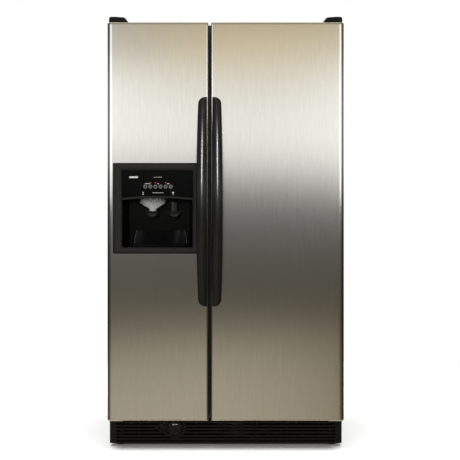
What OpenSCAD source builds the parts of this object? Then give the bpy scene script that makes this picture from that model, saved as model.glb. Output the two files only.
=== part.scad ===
/* [Cabinet] */
// Width over the cabinet and both doors
total_w = 902; // [890:1:914]
// Depth from the front of the handles to the rear panel
total_d = 840; // [830:1:850]
// Depth of the cabinet without its doors
cabinet_d = 711; // [708:1:714]
// Height of the top panel above the floor
cabinet_top = 1632; // [1620:1:1650]
// Thickness of the insulated side walls
wall_t = 51; // [50:1:52]
// Width of the insulated wall between the two compartments
mullion_w = 54; // [52:1:54]

/* [Doors] */
// Width of the freezer door
freezer_door_w = 385; // [383:1:387]
// Gap between the two doors
door_gap = 10.4; // [9:0.2:12]
// Thickness of a door without its gasket
door_t = 62; // [61:1:63]
// Thickness of the door gaskets
gasket_t = 12; // [11:1:13]
// Height of the bottom edge of the doors
door_bottom = 115; // [115:1:117]
// Radius of the vertical edge on a door's hinge side
hinge_edge_r = 18; // [12:1:20]
// Radius of the vertical edge on a door's free side
free_edge_r = 7; // [4:1:9]

/* [Handles] */
// Height of the lower end of the handles
handle_bottom = 550; // [540:1:560]
// Length of a handle
handle_l = 795; // [780:1:800]
// Width of a handle at its ends
handle_end_w = 34; // [30:1:36]
// Extra width of a handle at its middle
handle_swell = 6; // [2:1:8]

/* [Dispenser] */
// Height of the bottom edge of the dispenser frame
frame_bottom = 750; // [748:1:752]
// Diameter of a push button
button_d = 16.4; // [15:0.2:17]
// Distance from one push button to the next
button_pitch = 19.42; // [19.2:0.02:19.8]

/* [Base] */
// Diameter of the water filter's cap
cap_d = 60; // [58:1:60]
// Diameter of the rear rollers
roller_d = 40; // [38:2:40]

/* [Hidden] */
$fn = 48;

// Cutters run this far past the faces that they open
over = 1;
// Steel sheet of the wrapper and the door skins
sheet = 1;
// Plastic of the liners
liner_t = 2;
// Seam left between neighbouring panels and foam slabs
seam = 0.3;
// Radial clearance of a pin in its bore
pin_play = 0.06;

// Planes across the depth
rear_y = total_d / 2;
face_y = rear_y - cabinet_d;
door_back_y = face_y - gasket_t;
door_front_y = door_back_y - door_t;
rib_y = face_y + 51;
core_y = door_back_y - liner_t;
rear_panel_y = rear_y - 1.5;

// Spans across the width
half_w = total_w / 2;
freezer_door_x = [-half_w, -half_w + freezer_door_w];
fridge_door_x = [freezer_door_x[1] + door_gap, half_w];
mid_x = (freezer_door_x[1] + fridge_door_x[0]) / 2;
freezer_x = [-half_w + wall_t, mid_x - mullion_w / 2];
fridge_x = [mid_x + mullion_w / 2, half_w - wall_t];

// Heights of the cabinet
body_bottom = 113.5;
floor_z = 165;
ceiling_z = cabinet_top - 50;
door_z = [door_bottom, cabinet_top - 2];

// Steps of the liners over the machine compartment
liner_back_y = rear_y - 70;
step_y = 125;
step_z = 330;
machine_y = 170;
machine_z = 290;

// Hinge axis, from the door's outer edge and behind its front face
hinge_x = half_w - 22;
hinge_y = door_front_y + 30;
hinge_pin_r = 5;
hinge_bush_r = 9;
hinge_bush_l = 26;
bracket_t = 3;
top_screws = [[-434, -262], [-400, -262], [-418, -232]];
bottom_screws = [[-436, -262], [-404, -262]];
screw_r = 3;

// Insulated ribs on the inner side of the doors
freezer_rib = [[-392, -107], [185, 1125]];
freezer_pocket = [[-366, -133], [215, 735]];
fridge_rib = [[-20, 388], [185, 1562]];
fridge_pocket = [[6, 362], [215, 1532]];
bin_t = 3;
freezer_bins = [222, 400, 578];
fridge_shallow_bins = [222, 400];
fridge_deep_bins = [600, 840, 1080, 1320];
bin_h = 90;
deep_bin_y = -200;

// Shelves
shelf_front_y = -180;
shelf_back_y = 283;
freezer_shelf_z = [400, 620, 850, 1085];
fridge_shelf_z = [562, 800, 1040, 1290];
ledge_w = 9;
ledge_h = 8;

// Dispenser: frame, control panel and cavity
frame_x = [-428.5, -90];
frame_z = [frame_bottom, frame_bottom + 345];
frame_side = 36;
frame_top = 30;
frame_foot = 24;
frame_front_y = door_front_y - 8;
cavity_x = [frame_x[0] + frame_side, frame_x[1] - frame_side];
cavity_z = [frame_z[0] + frame_foot, frame_z[0] + 212];
cavity_back_y = -258;
cavity_taper = 16;
panel_z = [frame_z[0] + 216, frame_z[1] - frame_top];
panel_y = [door_front_y + 3, door_front_y + 6.5];
housing_t = 3;
button_x = -305.8;
button_z = frame_z[0] + 255;
light_x = [-285, -267, -228];
light_z = frame_z[0] + 270;
chute_x = -281;
chute_r = 28;
chute_foot_y = -312;
chute_mouth_y = -273;
water_x = -198;
ice_lever_x = -286;
water_lever_x = -201;
lever_axle_y = -270;
lever_axle_z = frame_z[0] + 196;
lever_axle_r = 3;

// Base: grille, filter, legs and rollers
grille_y = [-273, -255];
grille_z = [8, 105];
grille_lip_z = 37;
grille_end_w = 25;
rib_pitch = 13;
filter_x = -197;
filter_z = 72;
filter_r = cap_d / 2 - 2;
eject_x = -246;
leg_x = 410;
leg_y = -225;
roller_x = 400;
roller_y = 360;
roller_r = roller_d / 2;
axle_r = 5;
pan_z = 32;

// Machine compartment
fan_y = 295;
fan_z = 150;
compressor_x = -285;
motor_shaft_r = 4;

// Ice making
auger_z = 1190;
ice_bin_x = [-395, -93];
ice_bin_y = [-282, 200];
ice_bin_z = [1130, 1400];
evaporator_fan_z = 1120;

function grow(range, t) = [range[0] - t, range[1] + t];
function arc(centre, r, a0, a1, n = 8) =
    [for (i = [0:n]) centre + r * [cos(a0 + (a1 - a0) * i / n), sin(a0 + (a1 - a0) * i / n)]];

// Box between three ranges
module span(x, y, z) {
    translate([x[0], y[0], z[0]])
        cube([x[1] - x[0], y[1] - y[0], z[1] - z[0]]);
}

// Profiles drawn in (y, z), (x, z) and (x, y), extruded over a range
module along_x(x) {
    translate([x[0], 0, 0])
        rotate([90, 0, 90])
            linear_extrude(x[1] - x[0]) children();
}
module along_y(y) {
    translate([0, y[1], 0])
        rotate([90, 0, 0])
            linear_extrude(y[1] - y[0]) children();
}
module along_z(z) {
    translate([0, 0, z[0]])
        linear_extrude(z[1] - z[0]) children();
}

// Round bars along each axis
module rod_x(x, y, z, r) {
    translate([x[0], y, z])
        rotate([0, 90, 0])
            cylinder(h = x[1] - x[0], r = r);
}
module rod_y(x, y, z, r) {
    translate([x, y[0], z])
        rotate([-90, 0, 0])
            cylinder(h = y[1] - y[0], r = r);
}
module rod_z(x, y, z, r) {
    translate([x, y, z[0]])
        cylinder(h = z[1] - z[0], r = r);
}

// Both sides of the cabinet from one side's shape
module both_sides() {
    children();
    mirror([1, 0, 0]) children();
}

// ---------------------------------------------------------------- cabinet

module side_panel() {
    along_x([-half_w, -half_w + sheet])
        polygon([
            [-252, 20], [rear_y, 20], [rear_y, cabinet_top],
            [face_y, cabinet_top], [face_y, body_bottom], [-252, body_bottom]
        ]);
    span([-half_w, freezer_x[0]], [face_y, face_y + sheet], [body_bottom, cabinet_top]);
}

module top_screw_holes() {
    for (p = top_screws)
        rod_z(p[0], p[1], [cabinet_top - 24, cabinet_top + over], screw_r + 0.2);
}

module cabinet_wrapper() {
    top_x = half_w - sheet - seam;
    rail_x = grow([freezer_x[0], fridge_x[1]], -seam);
    color("#26272a") {
        both_sides() side_panel();
        difference() {
            union() {
                span([-top_x, top_x], [face_y + sheet + seam, rear_y], [cabinet_top - sheet, cabinet_top]);
                span(rail_x, [face_y, face_y + sheet], [ceiling_z + seam, cabinet_top]);
                span(rail_x, [face_y, face_y + 3], [cabinet_top - sheet, cabinet_top]);
            }
            both_sides() top_screw_holes();
        }
    }
}

module rear_panel() {
    color("#3a3b3d")
        span([-half_w + sheet + seam, half_w - sheet - seam], [rear_panel_y, rear_y],
             [machine_z, cabinet_top - sheet - seam]);
}

// One slab of poured insulation, with the seam left all round it
module slab(x, y, z) {
    span(grow(x, -seam / 2), grow(y, -seam / 2), grow(z, -seam / 2));
}

module foam_wall(x) {
    front_y = face_y + sheet + seam / 2;
    back_y = rear_panel_y - seam / 2;
    low_z = body_bottom + seam / 2;
    top_z = cabinet_top - sheet - seam / 2;
    along_x(grow(x, -seam / 2))
        polygon([
            [front_y, low_z], [machine_y, low_z], [machine_y, machine_z], [back_y, machine_z],
            [back_y, top_z], [front_y, top_z]
        ]);
}

module cabinet_foam() {
    front_y = face_y + sheet;
    top_z = cabinet_top - sheet;
    color("#d9c98a")
        difference() {
            union() {
                foam_wall([-half_w + sheet, freezer_x[0]]);
                foam_wall([freezer_x[1], fridge_x[0]]);
                foam_wall([fridge_x[1], half_w - sheet]);
                for (x = [freezer_x, fridge_x]) {
                    slab(x, [front_y, liner_back_y], [ceiling_z, top_z]);
                    slab(x, [liner_back_y, rear_panel_y], [machine_z, top_z]);
                    slab(x, [step_y, liner_back_y], [machine_z, step_z]);
                    slab(x, [step_y, machine_y], [body_bottom, machine_z]);
                    slab(x, [front_y, step_y], [body_bottom, floor_z]);
                }
            }
            both_sides() top_screw_holes();
            both_sides()
                for (p = bottom_screws)
                    rod_z(p[0], p[1], [body_bottom - over, body_bottom + 18], screw_r + 0.2);
        }
}

// Stepped inside of a compartment, drawn in by t all round
module liner_volume(x, t) {
    along_x(grow(x, -t))
        polygon([
            [face_y - t, floor_z + t], [step_y - t, floor_z + t], [step_y - t, step_z + t],
            [liner_back_y - t, step_z + t], [liner_back_y - t, ceiling_z - t],
            [face_y - t, ceiling_z - t]
        ]);
}

// Ledges that carry a shelf whose underside is at z
module ledges(x, y, z) {
    span([x[0] + over, x[0] + liner_t + ledge_w], y, [z - ledge_h, z]);
    span([x[1] - liner_t - ledge_w, x[1] - over], y, [z - ledge_h, z]);
}

module freezer_liner() {
    color("#eef0f1") {
        difference() {
            liner_volume(freezer_x, 0);
            liner_volume(freezer_x, liner_t);
        }
        for (z = freezer_shelf_z)
            ledges(freezer_x, [shelf_front_y + 10, shelf_back_y], z);
        ledges(freezer_x, [-150, shelf_back_y], ice_bin_z[0]);
    }
}

module refrigerator_liner() {
    color("#eef0f1") {
        difference() {
            liner_volume(fridge_x, 0);
            liner_volume(fridge_x, liner_t);
        }
        for (z = fridge_shelf_z)
            ledges(fridge_x, [shelf_front_y + 10, 345], z);
        ledges(fridge_x, [-115, 340], 352);
        ledges(fridge_x, [-115, 118], 176);
    }
}

module mullion_rail() {
    color("#26272a") {
        span(grow([freezer_x[0], fridge_x[1]], -seam), [face_y, face_y + sheet], [body_bottom, floor_z]);
        span([freezer_x[1], fridge_x[0]], [face_y, face_y + sheet], [floor_z + seam, ceiling_z]);
    }
}

// ------------------------------------------------------- machine compartment

module chassis_rail() {
    along_x([-half_w + sheet, -half_w + sheet + 2])
        polygon([
            [-250, 26], [416, 26], [416, machine_z - 2], [machine_y + 2, machine_z - 2],
            [machine_y + 2, body_bottom - 3.5], [-250, body_bottom - 3.5]
        ]);
}

module roller_fork() {
    for (x = [-430, -380])
        span([x, x + 6], [roller_y - 14, roller_y + 14], [8, pan_z - 1]);
}

module filter_housing() {
    rod_y(filter_x, [-250, 26], filter_z, filter_r + 4);
    span([filter_x - 20, filter_x + 20], [-200, -180], [pan_z - 1, filter_z]);
    span([filter_x - 20, filter_x + 20], [-20, 0], [pan_z - 1, filter_z]);
}

module base_chassis() {
    color("#1c1d1f")
        difference() {
            union() {
                both_sides() {
                    chassis_rail();
                    roller_fork();
                    rod_z(-leg_x, leg_y, [pan_z - 1, 58], 14);
                }
                difference() {
                    span([-half_w + 2, half_w - 2], [-240, 416], [pan_z - 2, pan_z]);
                    both_sides()
                        span([-roller_x - 18, -roller_x + 18], grow([roller_y, roller_y], roller_r + 3),
                             [pan_z - 3, pan_z + over]);
                }
                span([-half_w + 2, half_w - 2], [-250, -246], [88, 106]);
                filter_housing();
                // Fan shroud, motor and its bracket
                span([20, 22], [190, 400], [pan_z - 1, 250]);
                rod_x([-95, -45], fan_y, fan_z, 24);
                rod_x([-46, 4], fan_y, fan_z, motor_shaft_r);
                span([-80, -60], [fan_y - 12, fan_y + 12], [pan_z - 1, fan_z]);
            }
            both_sides()
                rod_z(-leg_x, leg_y, [pan_z - 3, 60], 6 + pin_play);
            rod_x([-half_w + 4, half_w - 4], roller_y, roller_r, axle_r + pin_play);
            rod_y(filter_x, [-252, 20], filter_z, filter_r + 0.5);
            rod_x([19, 23], fan_y, fan_z, 82);
        }
}

module slat(z) {
    span(grow([-half_w, half_w], -grille_end_w + over), [grille_y[0], grille_y[0] + 10], [z, z + 7]);
}

// Pointed oval opening that frames the filter cap and its button
module eye(d, y) {
    along_y(y)
        polygon(concat(
            arc([filter_x, filter_z], 33 + d, -125, 125, 20),
            [[-262 - d * 1.4, filter_z + 3], [-265 - d * 1.5, filter_z - 2]]
        ));
}

module base_grille() {
    inner_x = half_w - grille_end_w;
    color("#1b1b1c")
        difference() {
            union() {
                both_sides()
                    span([-half_w, -inner_x], grille_y, [grille_z[0] + 3, grille_z[1]]);
                for (i = [0:6])
                    slat(grille_z[0] + 2 + i * rib_pitch);
                span([-inner_x - over, inner_x + over], grille_y, [grille_z[0], grille_z[0] + 5]);
                span([-inner_x - over, inner_x + over], grille_y, [grille_z[1] - 4, grille_z[1]]);
                // Lip that closes the gap under the base pan
                span([-inner_x - over, inner_x + over], [grille_y[1] - 3, grille_y[1]],
                     [grille_z[0], grille_lip_z]);
                for (x = [-340, -120, 0, 120, 240, 360])
                    span([x, x + 5], [grille_y[0] + 8, grille_y[1]], [grille_z[0] + 2, grille_z[1] - 2]);
                intersection() {
                    eye(9, [grille_y[0] - 2, grille_y[1]]);
                    span([-300, -140], [-280, -250], grille_z);
                }
            }
            eye(0, [grille_y[0] - 4, grille_y[0] + 8]);
            rod_y(filter_x, [-280, -250], filter_z, cap_d / 2 + 1);
            rod_y(eject_x, [-280, -250], filter_z, 11.4);
        }
}

module compressor() {
    color("#161617") {
        translate([compressor_x, fan_y, 0])
            rotate_extrude()
                polygon(concat(
                    [[0, 58]],
                    arc([52, 78], 20, -90, 0, 6),
                    arc([42, 190], 30, 0, 90, 6),
                    [[0, 220]]
                ));
        span(grow([compressor_x, compressor_x], 95), grow([fan_y, fan_y], 72), [48, 51]);
        rod_z(compressor_x, fan_y, [50, 60], 40);
        for (dx = [-82, 82], dy = [-58, 58])
            rod_z(compressor_x + dx, fan_y + dy, [pan_z, 49], 11);
        span([compressor_x + 68, compressor_x + 100], grow([fan_y, fan_y], 28), [90, 160]);
        rod_z(compressor_x - 20, fan_y + 20, [210, 262], 5);
        rod_z(compressor_x + 26, fan_y - 20, [210, 250], 4);
    }
}

// Return bend from (y, z) up to the tube one pitch above it, on the +X end
module return_bend(x, y, z, pitch, r) {
    translate([x, y, z + pitch / 2])
        rotate([-90, -90, 0])
            rotate_extrude(angle = 180)
                translate([pitch / 2, 0]) circle(r);
}

// Bank of tubes along X that passes through square fins
module fin_coil(x, rows, z0, pitch, tubes, fins, r, fin_d) {
    fin_gap = (x[1] - x[0] - 24) / (fins - 1);
    for (y = rows) {
        for (i = [0:tubes - 1])
            rod_x(x, y, z0 + i * pitch, r);
        for (i = [0:2:tubes - 2])
            return_bend(x[1] - 2, y, z0 + i * pitch, pitch, r + 0.6);
        for (i = [1:2:tubes - 2])
            translate([x[0] + 2, 0, 0])
                mirror([1, 0, 0])
                    return_bend(0, y, z0 + i * pitch, pitch, r + 0.6);
    }
    for (i = [0:fins - 1])
        span([x[0] + 12 + i * fin_gap, x[0] + 12.8 + i * fin_gap],
             [rows[0] - fin_d, rows[len(rows) - 1] + fin_d],
             [z0 - pitch / 2, z0 + (tubes - 0.5) * pitch]);
}

module condenser_coil() {
    color("#4a3020")
        fin_coil([76, 356], [225, 275, 325, 375], 92, 30, 5, 14, 4.8, 22);
}

module drain_pan() {
    color("#2a2b2c")
        difference() {
            span([56, 378], [190, 405], [pan_z, 62]);
            span([58, 376], [192, 403], [pan_z + 2, 62 + over]);
        }
    // Stands that carry the condenser above the water
    color("#2a2b2c")
        for (x = [110, 340])
            span([x, x + 8], [203, 397], [pan_z + 1, 77]);
}

module rear_access_cover() {
    color("#5b4632")
        difference() {
            span([-half_w + 4, half_w - 4], [rear_panel_y, rear_y], [28, machine_z - seam]);
            for (i = [0:19], z = [70, 130, 190])
                span([-20 + i * 20, -12 + i * 20], [rear_panel_y - over, rear_y + over], [z, z + 42]);
            rod_y(-380, [rear_panel_y - over, rear_y + over], 210, 9);
        }
}

module power_inlet() {
    color("#202021")
        difference() {
            union() {
                rod_y(-380, [rear_panel_y - 8, rear_y], 210, 8.8);
                rod_y(-380, [rear_panel_y - 11, rear_panel_y - 0.5], 210, 13);
            }
            rod_y(-380, [rear_panel_y - 12, rear_y + over], 210, 4.5);
        }
}

// Pitched blades on a hub, turning about local Z, with the hub's bore open below
module fan_wheel(tip_r, hub_r, hub_h, blades, chord) {
    difference() {
        union() {
            cylinder(h = hub_h, r = hub_r);
            for (i = [0:blades - 1])
                rotate([0, 0, i * 360 / blades])
                    translate([hub_r - 4, 0, hub_h / 2])
                        rotate([32, 0, 0])
                            translate([0, -chord / 2, -1])
                                cube([tip_r - hub_r + 4, chord, 2]);
        }
        translate([0, 0, -over])
            cylinder(h = hub_h - 5 + over, r = motor_shaft_r + pin_play);
    }
}

module condenser_fan() {
    color("#d8d8d4")
        translate([-22, fan_y, fan_z])
            rotate([0, 90, 0])
                fan_wheel(74, 20, 32, 5, 44);
}

// ------------------------------------------------------------- freezer inside

module evaporator_coil() {
    color("#b9bcbe")
        fin_coil([-375, -115], [304, 330], 470, 34, 12, 12, 4, 7);
}

module evaporator_cover() {
    cover_y = [shelf_back_y + 3, shelf_back_y + 6];
    color("#e6e8e9") {
        difference() {
            span([freezer_x[0] + 3, freezer_x[1] - 3], cover_y, [step_z + 4, ceiling_z - 4]);
            intersection() {
                rod_y(chute_x + 36, grow(cover_y, over), evaporator_fan_z, 52);
                union()
                    for (i = [0:7])
                        span([-320, -170], grow(cover_y, over), [1070 + i * 13, 1076 + i * 13]);
            }
            for (i = [0:8])
                span([-375 + i * 30, -357 + i * 30], grow(cover_y, over), [350, 358]);
        }
        // Rails that clamp the coil's fins
        for (z = [480, 830])
            span([-380, -110], [cover_y[1] - over, 297], [z, z + 10]);
        // Motor of the fan, on its stay
        rod_y(chute_x + 36, [324, 346], evaporator_fan_z, 18);
        rod_y(chute_x + 36, [304.5, 325], evaporator_fan_z, motor_shaft_r);
        span([chute_x + 30, chute_x + 42], [cover_y[1] - over, 344],
             [evaporator_fan_z - 66, evaporator_fan_z - 58]);
        span([chute_x + 30, chute_x + 42], [336, 344], [evaporator_fan_z - 66, evaporator_fan_z - 10]);
    }
}

module evaporator_fan() {
    color("#2b2c2e")
        translate([chute_x + 36, 318, evaporator_fan_z])
            rotate([90, 0, 0])
                fan_wheel(46, 13, 20, 5, 22);
}

module freezer_shelves() {
    x = [freezer_x[0] + 3.5, freezer_x[1] - 3.5];
    y = [shelf_front_y, shelf_back_y];
    bars = 13;
    pitch = (x[1] - x[0] - 4) / (bars + 1);
    color("#f4f4f2")
        for (z = freezer_shelf_z) {
            difference() {
                span(x, y, [z, z + 6]);
                span(grow(x, -6), grow(y, -6), [z - over, z + 6 + over]);
            }
            for (i = [1:bars])
                span([x[0] + i * pitch, x[0] + i * pitch + 4], grow(y, -5), [z + 1.5, z + 5.5]);
            span(grow(x, -5), [50, 58], [z + 0.5, z + 3]);
            span(x, [y[0], y[0] + 5], [z + 5, z + 16]);
        }
}

// Crescent moulds of the ice maker, with the auger's drive housing below and behind it
module ice_maker() {
    color("#c9ccd0") {
        difference() {
            span([-372, -290], [20, 268], [1448, 1500]);
            for (i = [0:6])
                rod_y(-331, [30 + i * 33, 57 + i * 33], 1504, 34);
        }
        span([-384, -278], [-30, 20], [1436, 1530]);
        span([freezer_x[0] + liner_t, -372], [-30, 268], [1486, 1494]);
        difference() {
            span([-340, -222], [206, 280], [1140, 1260]);
            rod_y(chute_x, [200, 262], auger_z, 5 + pin_play);
        }
    }
}

module ice_bin() {
    color("#e9eef0", 0.6)
        difference() {
            span(ice_bin_x, ice_bin_y, ice_bin_z);
            span(grow(ice_bin_x, -bin_t), grow(ice_bin_y, -bin_t),
                 [ice_bin_z[0] + bin_t, ice_bin_z[1] + over]);
            span([chute_x - 30, chute_x + 30], [chute_mouth_y - 5, chute_mouth_y + 34],
                 [ice_bin_z[0] - over, ice_bin_z[0] + bin_t + over]);
            rod_y(chute_x, [ice_bin_y[1] - 5, ice_bin_y[1] + 5], auger_z, 5 + pin_play);
        }
}

module ice_auger() {
    color("#b5b8bb")
        translate([chute_x, 0, auger_z]) {
            rod_y(0, [-240, 255], 0, 5);
            for (i = [0:10])
                translate([0, -228 + i * 38, 0])
                    rotate([0, i * 36, 0])
                        translate([0, 0, -40])
                            cylinder(h = 80, r = 3.2);
        }
}

// ------------------------------------------------------- refrigerator inside

module shelf_frames() {
    x = [fridge_x[0] + 3.5, fridge_x[1] - 3.5];
    y = [shelf_front_y, shelf_back_y + 57];
    color("#f2f3f2")
        for (z = fridge_shelf_z)
            difference() {
                span(x, y, [z, z + 14]);
                span(grow(x, -14), grow(y, -14), [z - over, z + 14 + over]);
                span(grow(x, -8), grow(y, -8), [z + 8, z + 14 + over]);
            }
}

module shelf_glass() {
    x = [fridge_x[0] + 12, fridge_x[1] - 12];
    y = [shelf_front_y + 8.5, shelf_back_y + 48.5];
    color("#bcd9d2", 0.4)
        for (z = fridge_shelf_z)
            span(x, y, [z + 8, z + 12]);
}

module crisper(y, z) {
    x = [fridge_x[0] + 6, fridge_x[1] - 6];
    color("#dfe9ea", 0.5) {
        difference() {
            span(x, y, z);
            span(grow(x, -bin_t), grow(y, -bin_t), [z[0] + bin_t, z[1] + over]);
        }
        // Pull lip across the front
        span([x[0] + 60, x[1] - 60], [y[0] - 12, y[0] + over], [z[1] - 12, z[1]]);
    }
}

module crisper_upper() {
    crisper([-125, 338], [352.3, 548]);
}

module crisper_lower() {
    crisper([-125, 116], [176.3, 338]);
}

// ------------------------------------------------------------------- doors

// Plan of a door, drawn in by t, with its two front edges rounded
function door_plan(x, r0, r1, t, back_y) = concat(
    [[x[0] + t, back_y]],
    arc([x[0] + r0, door_front_y + r0], r0 - t, 180, 270),
    arc([x[1] - r1, door_front_y + r1], r1 - t, 270, 360),
    [[x[1] - t, back_y]]
);

module freezer_slab(t, back_y, z) {
    along_z(z)
        polygon(door_plan(freezer_door_x, hinge_edge_r, free_edge_r, t, back_y));
}

module fridge_slab(t, back_y, z) {
    along_z(z)
        polygon(door_plan(fridge_door_x, free_edge_r, hinge_edge_r, t, back_y));
}

// Bushes that turn on the hinge pins, at the top and bottom of a door
module hinge_bushes(x, r) {
    rod_z(x, hinge_y, [door_z[0], door_z[0] + hinge_bush_l], r);
    rod_z(x, hinge_y, [door_z[1] - hinge_bush_l, door_z[1]], r);
}

module hinge_bores(x) {
    rod_z(x, hinge_y, [door_z[0] - over, door_z[0] + hinge_bush_l - 1.5], hinge_pin_r + pin_play);
    rod_z(x, hinge_y, [door_z[1] - hinge_bush_l + 1.5, door_z[1] + over], hinge_pin_r + pin_play);
}

// Splits a door's insulation into simple blocks along the given boxes, with seams between
module foam_blocks(boxes) {
    for (b = boxes)
        intersection() {
            children();
            slab(b[0], b[1], b[2]);
        }
}

// Box of the door slab in front of its ribs
function slab_box(x, z) = [x, [door_front_y - over, core_y], z];

// Box in the ribs behind the door slab
function rib_box(x, z) = [x, [core_y, rib_y + over], z];

// Raised ribs round the bin pocket, drawn in by t, up to the plane rib_y
module ribs(rib, pocket, t, from_y) {
    difference() {
        span(grow(rib[0], -t), [from_y, rib_y - t], grow(rib[1], -t));
        span(grow(pocket[0], t), [core_y, rib_y + over], grow(pocket[1], t));
    }
}

// Plan of the dispenser cavity, grown by t: its sides draw in towards the back
function cavity_plan(t, front_y) = [
    [cavity_x[0] - t, front_y], [cavity_x[1] + t, front_y],
    [cavity_x[1] - cavity_taper + t, cavity_back_y + t],
    [cavity_x[0] + cavity_taper - t, cavity_back_y + t]
];

module housing_outside(t) {
    along_z([cavity_z[0] - t, panel_z[0]])
        polygon(cavity_plan(t, door_front_y));
    span(grow(cavity_x, t), [door_front_y, panel_y[1] + 14 + t], [panel_z[0] - over, panel_z[1] + t]);
}

// Leaning bore of the ice chute, from the dispenser's roof to the door's inner ledge
module chute_bore(r) {
    rise = freezer_rib[1][1] - cavity_z[1];
    lean = atan((chute_mouth_y - chute_foot_y) / rise);
    intersection() {
        translate([chute_x, chute_foot_y, cavity_z[1]])
            rotate([-lean, 0, 0])
                translate([0, 0, -20])
                    cylinder(h = rise + 60, r = r);
        span([chute_x - 60, chute_x + 60], [-360, -200], [cavity_z[1], freezer_rib[1][1]]);
    }
}

module freezer_door_skin() {
    color("#b9b9b2")
        difference() {
            union() {
                difference() {
                    freezer_slab(0, door_back_y, door_z);
                    freezer_slab(sheet, door_back_y + over, grow(door_z, -sheet));
                }
                hinge_bushes(-hinge_x, hinge_bush_r);
            }
            span(grow(cavity_x, housing_t), [door_front_y - over, door_front_y + 4],
                 [cavity_z[0] - housing_t, panel_z[1] + housing_t]);
            hinge_bores(-hinge_x);
        }
}

module freezer_door_foam() {
    door_x = grow(freezer_door_x, over);
    rib_x = grow(freezer_rib[0], over);
    pocket_x = grow(freezer_pocket[0], liner_t);
    pocket_z = grow(freezer_pocket[1], liner_t);
    // Sides of the housing where it meets the ribs, and at its back
    neck_x = grow(cavity_x, housing_t - cavity_taper * 0.55);
    back_x = grow(cavity_x, housing_t - cavity_taper);
    housing_z = [cavity_z[0] - housing_t, panel_z[0], panel_z[1] + housing_t];
    chute_x0 = chute_x - chute_r - 1;
    chute_x1 = chute_x + chute_r + 1;
    top_z = door_z[1] + over;
    color("#d9c98a")
        foam_blocks(concat(
            [
                slab_box(door_x, [door_z[0] - over, housing_z[0]]),
                slab_box(door_x, [housing_z[2], top_z]),
                slab_box([door_x[0], neck_x[0]], [housing_z[0], housing_z[2]]),
                slab_box([neck_x[1], door_x[1]], [housing_z[0], housing_z[2]]),
                rib_box([rib_x[0], pocket_x[0]], [door_z[0], housing_z[0]]),
                rib_box([pocket_x[1], rib_x[1]], [door_z[0], housing_z[0]]),
                rib_box(pocket_x, [door_z[0], pocket_z[0]]),
                rib_box(pocket_x, [pocket_z[1], housing_z[0]]),
                rib_box([rib_x[0], back_x[0]], [housing_z[0], housing_z[1]]),
                rib_box(back_x, [housing_z[0], housing_z[1]]),
                rib_box([back_x[1], rib_x[1]], [housing_z[0], housing_z[1]])
            ],
            [for (x = [[neck_x[0], chute_x0], [chute_x0, chute_x1], [chute_x1, neck_x[1]]])
                slab_box(x, [housing_z[1], housing_z[2]])],
            [for (x = [[rib_x[0], chute_x0], [chute_x0, chute_x1], [chute_x1, rib_x[1]]])
                rib_box(x, [housing_z[1], top_z])]
        ))
            difference() {
                union() {
                    freezer_slab(sheet, core_y, grow(door_z, -sheet));
                    ribs(freezer_rib, freezer_pocket, liner_t, core_y - over);
                }
                housing_outside(housing_t);
                chute_bore(chute_r + seam);
                hinge_bushes(-hinge_x, hinge_bush_r);
            }
}

module freezer_door_liner() {
    color("#eef0f1")
        difference() {
            union() {
                span(grow(freezer_door_x, -sheet), [core_y, door_back_y], grow(door_z, -sheet));
                ribs(freezer_rib, freezer_pocket, 0, core_y);
            }
            ribs(freezer_rib, freezer_pocket, liner_t, core_y - over);
            chute_bore(chute_r + seam);
        }
}

// Magnetic gasket: a ring round the compartment's opening
module gasket(x, z) {
    difference() {
        span(x, [door_back_y, face_y], z);
        span(grow(x, -18), [door_back_y - over, face_y + over], grow(z, -18));
        span(grow(x, -7), [door_back_y + 4, door_back_y + 8], grow(z, -7));
    }
}

module freezer_door_gasket() {
    color("#1a1a1b")
        gasket([-hinge_x + 4, freezer_door_x[1] - 3], [132, 1612]);
}

module door_bin(x, y, z) {
    difference() {
        span(x, y, [z, z + bin_h]);
        span(grow(x, -bin_t), grow(y, -bin_t), [z + bin_t, z + bin_h + over]);
    }
}

module freezer_door_bins() {
    color("#dfe9ea", 0.5)
        for (z = freezer_bins)
            door_bin(freezer_pocket[0], [door_back_y, deep_bin_y], z);
}

// Front outline of a handle: straight on the side of the gap, bowed on the other
function handle_outline(gap_x, side) = let (
    z0 = handle_bottom,
    z1 = handle_bottom + handle_l,
    mid_z = (z0 + z1) / 2,
    out_x = gap_x + side * handle_end_w,
    r = 26
) concat(
    [[gap_x, z0], [gap_x, z1]],
    [for (a = [90:-15:0]) [out_x - side * r + side * r * cos(a), z1 - r + r * sin(a)]],
    [for (i = [1:15]) let (z = z1 - r - i * (handle_l - 2 * r) / 16)
        [out_x + side * handle_swell * (1 - pow((z - mid_z) / (handle_l / 2 - r), 2)), z]],
    [for (a = [0:-15:-90]) [out_x - side * r + side * r * cos(a), z0 + r + r * sin(a)]]
);

// Bowed bar seen from the side: it stands on the door at both ends
function bow_y(z, half_l, reach) = reach * (1 - pow((z - handle_bottom - handle_l / 2) / half_l, 2));

module handle(gap_x, side) {
    z1 = handle_bottom + handle_l;
    grip_l = handle_l / 2 - 22;
    mid_z = handle_bottom + handle_l / 2;
    grip_reach = 38;
    end_t = 7;
    reach = door_front_y + rear_y - end_t;
    color("#141414")
        intersection() {
            along_y([-rear_y - over, door_front_y])
                polygon(handle_outline(gap_x, side));
            along_x([-140, 20])
                polygon(concat(
                    [[door_front_y, handle_bottom]],
                    [for (i = [0:24]) let (z = handle_bottom + i * handle_l / 24)
                        [door_front_y - end_t - bow_y(z, handle_l / 2, reach), z]],
                    [[door_front_y, z1]],
                    [for (i = [24:-1:0]) let (z = mid_z - grip_l + i * grip_l / 12)
                        [door_front_y - bow_y(z, grip_l, grip_reach), z]]
                ));
        }
}

module freezer_door_handle() {
    handle(-70.5, -1);
}

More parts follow.
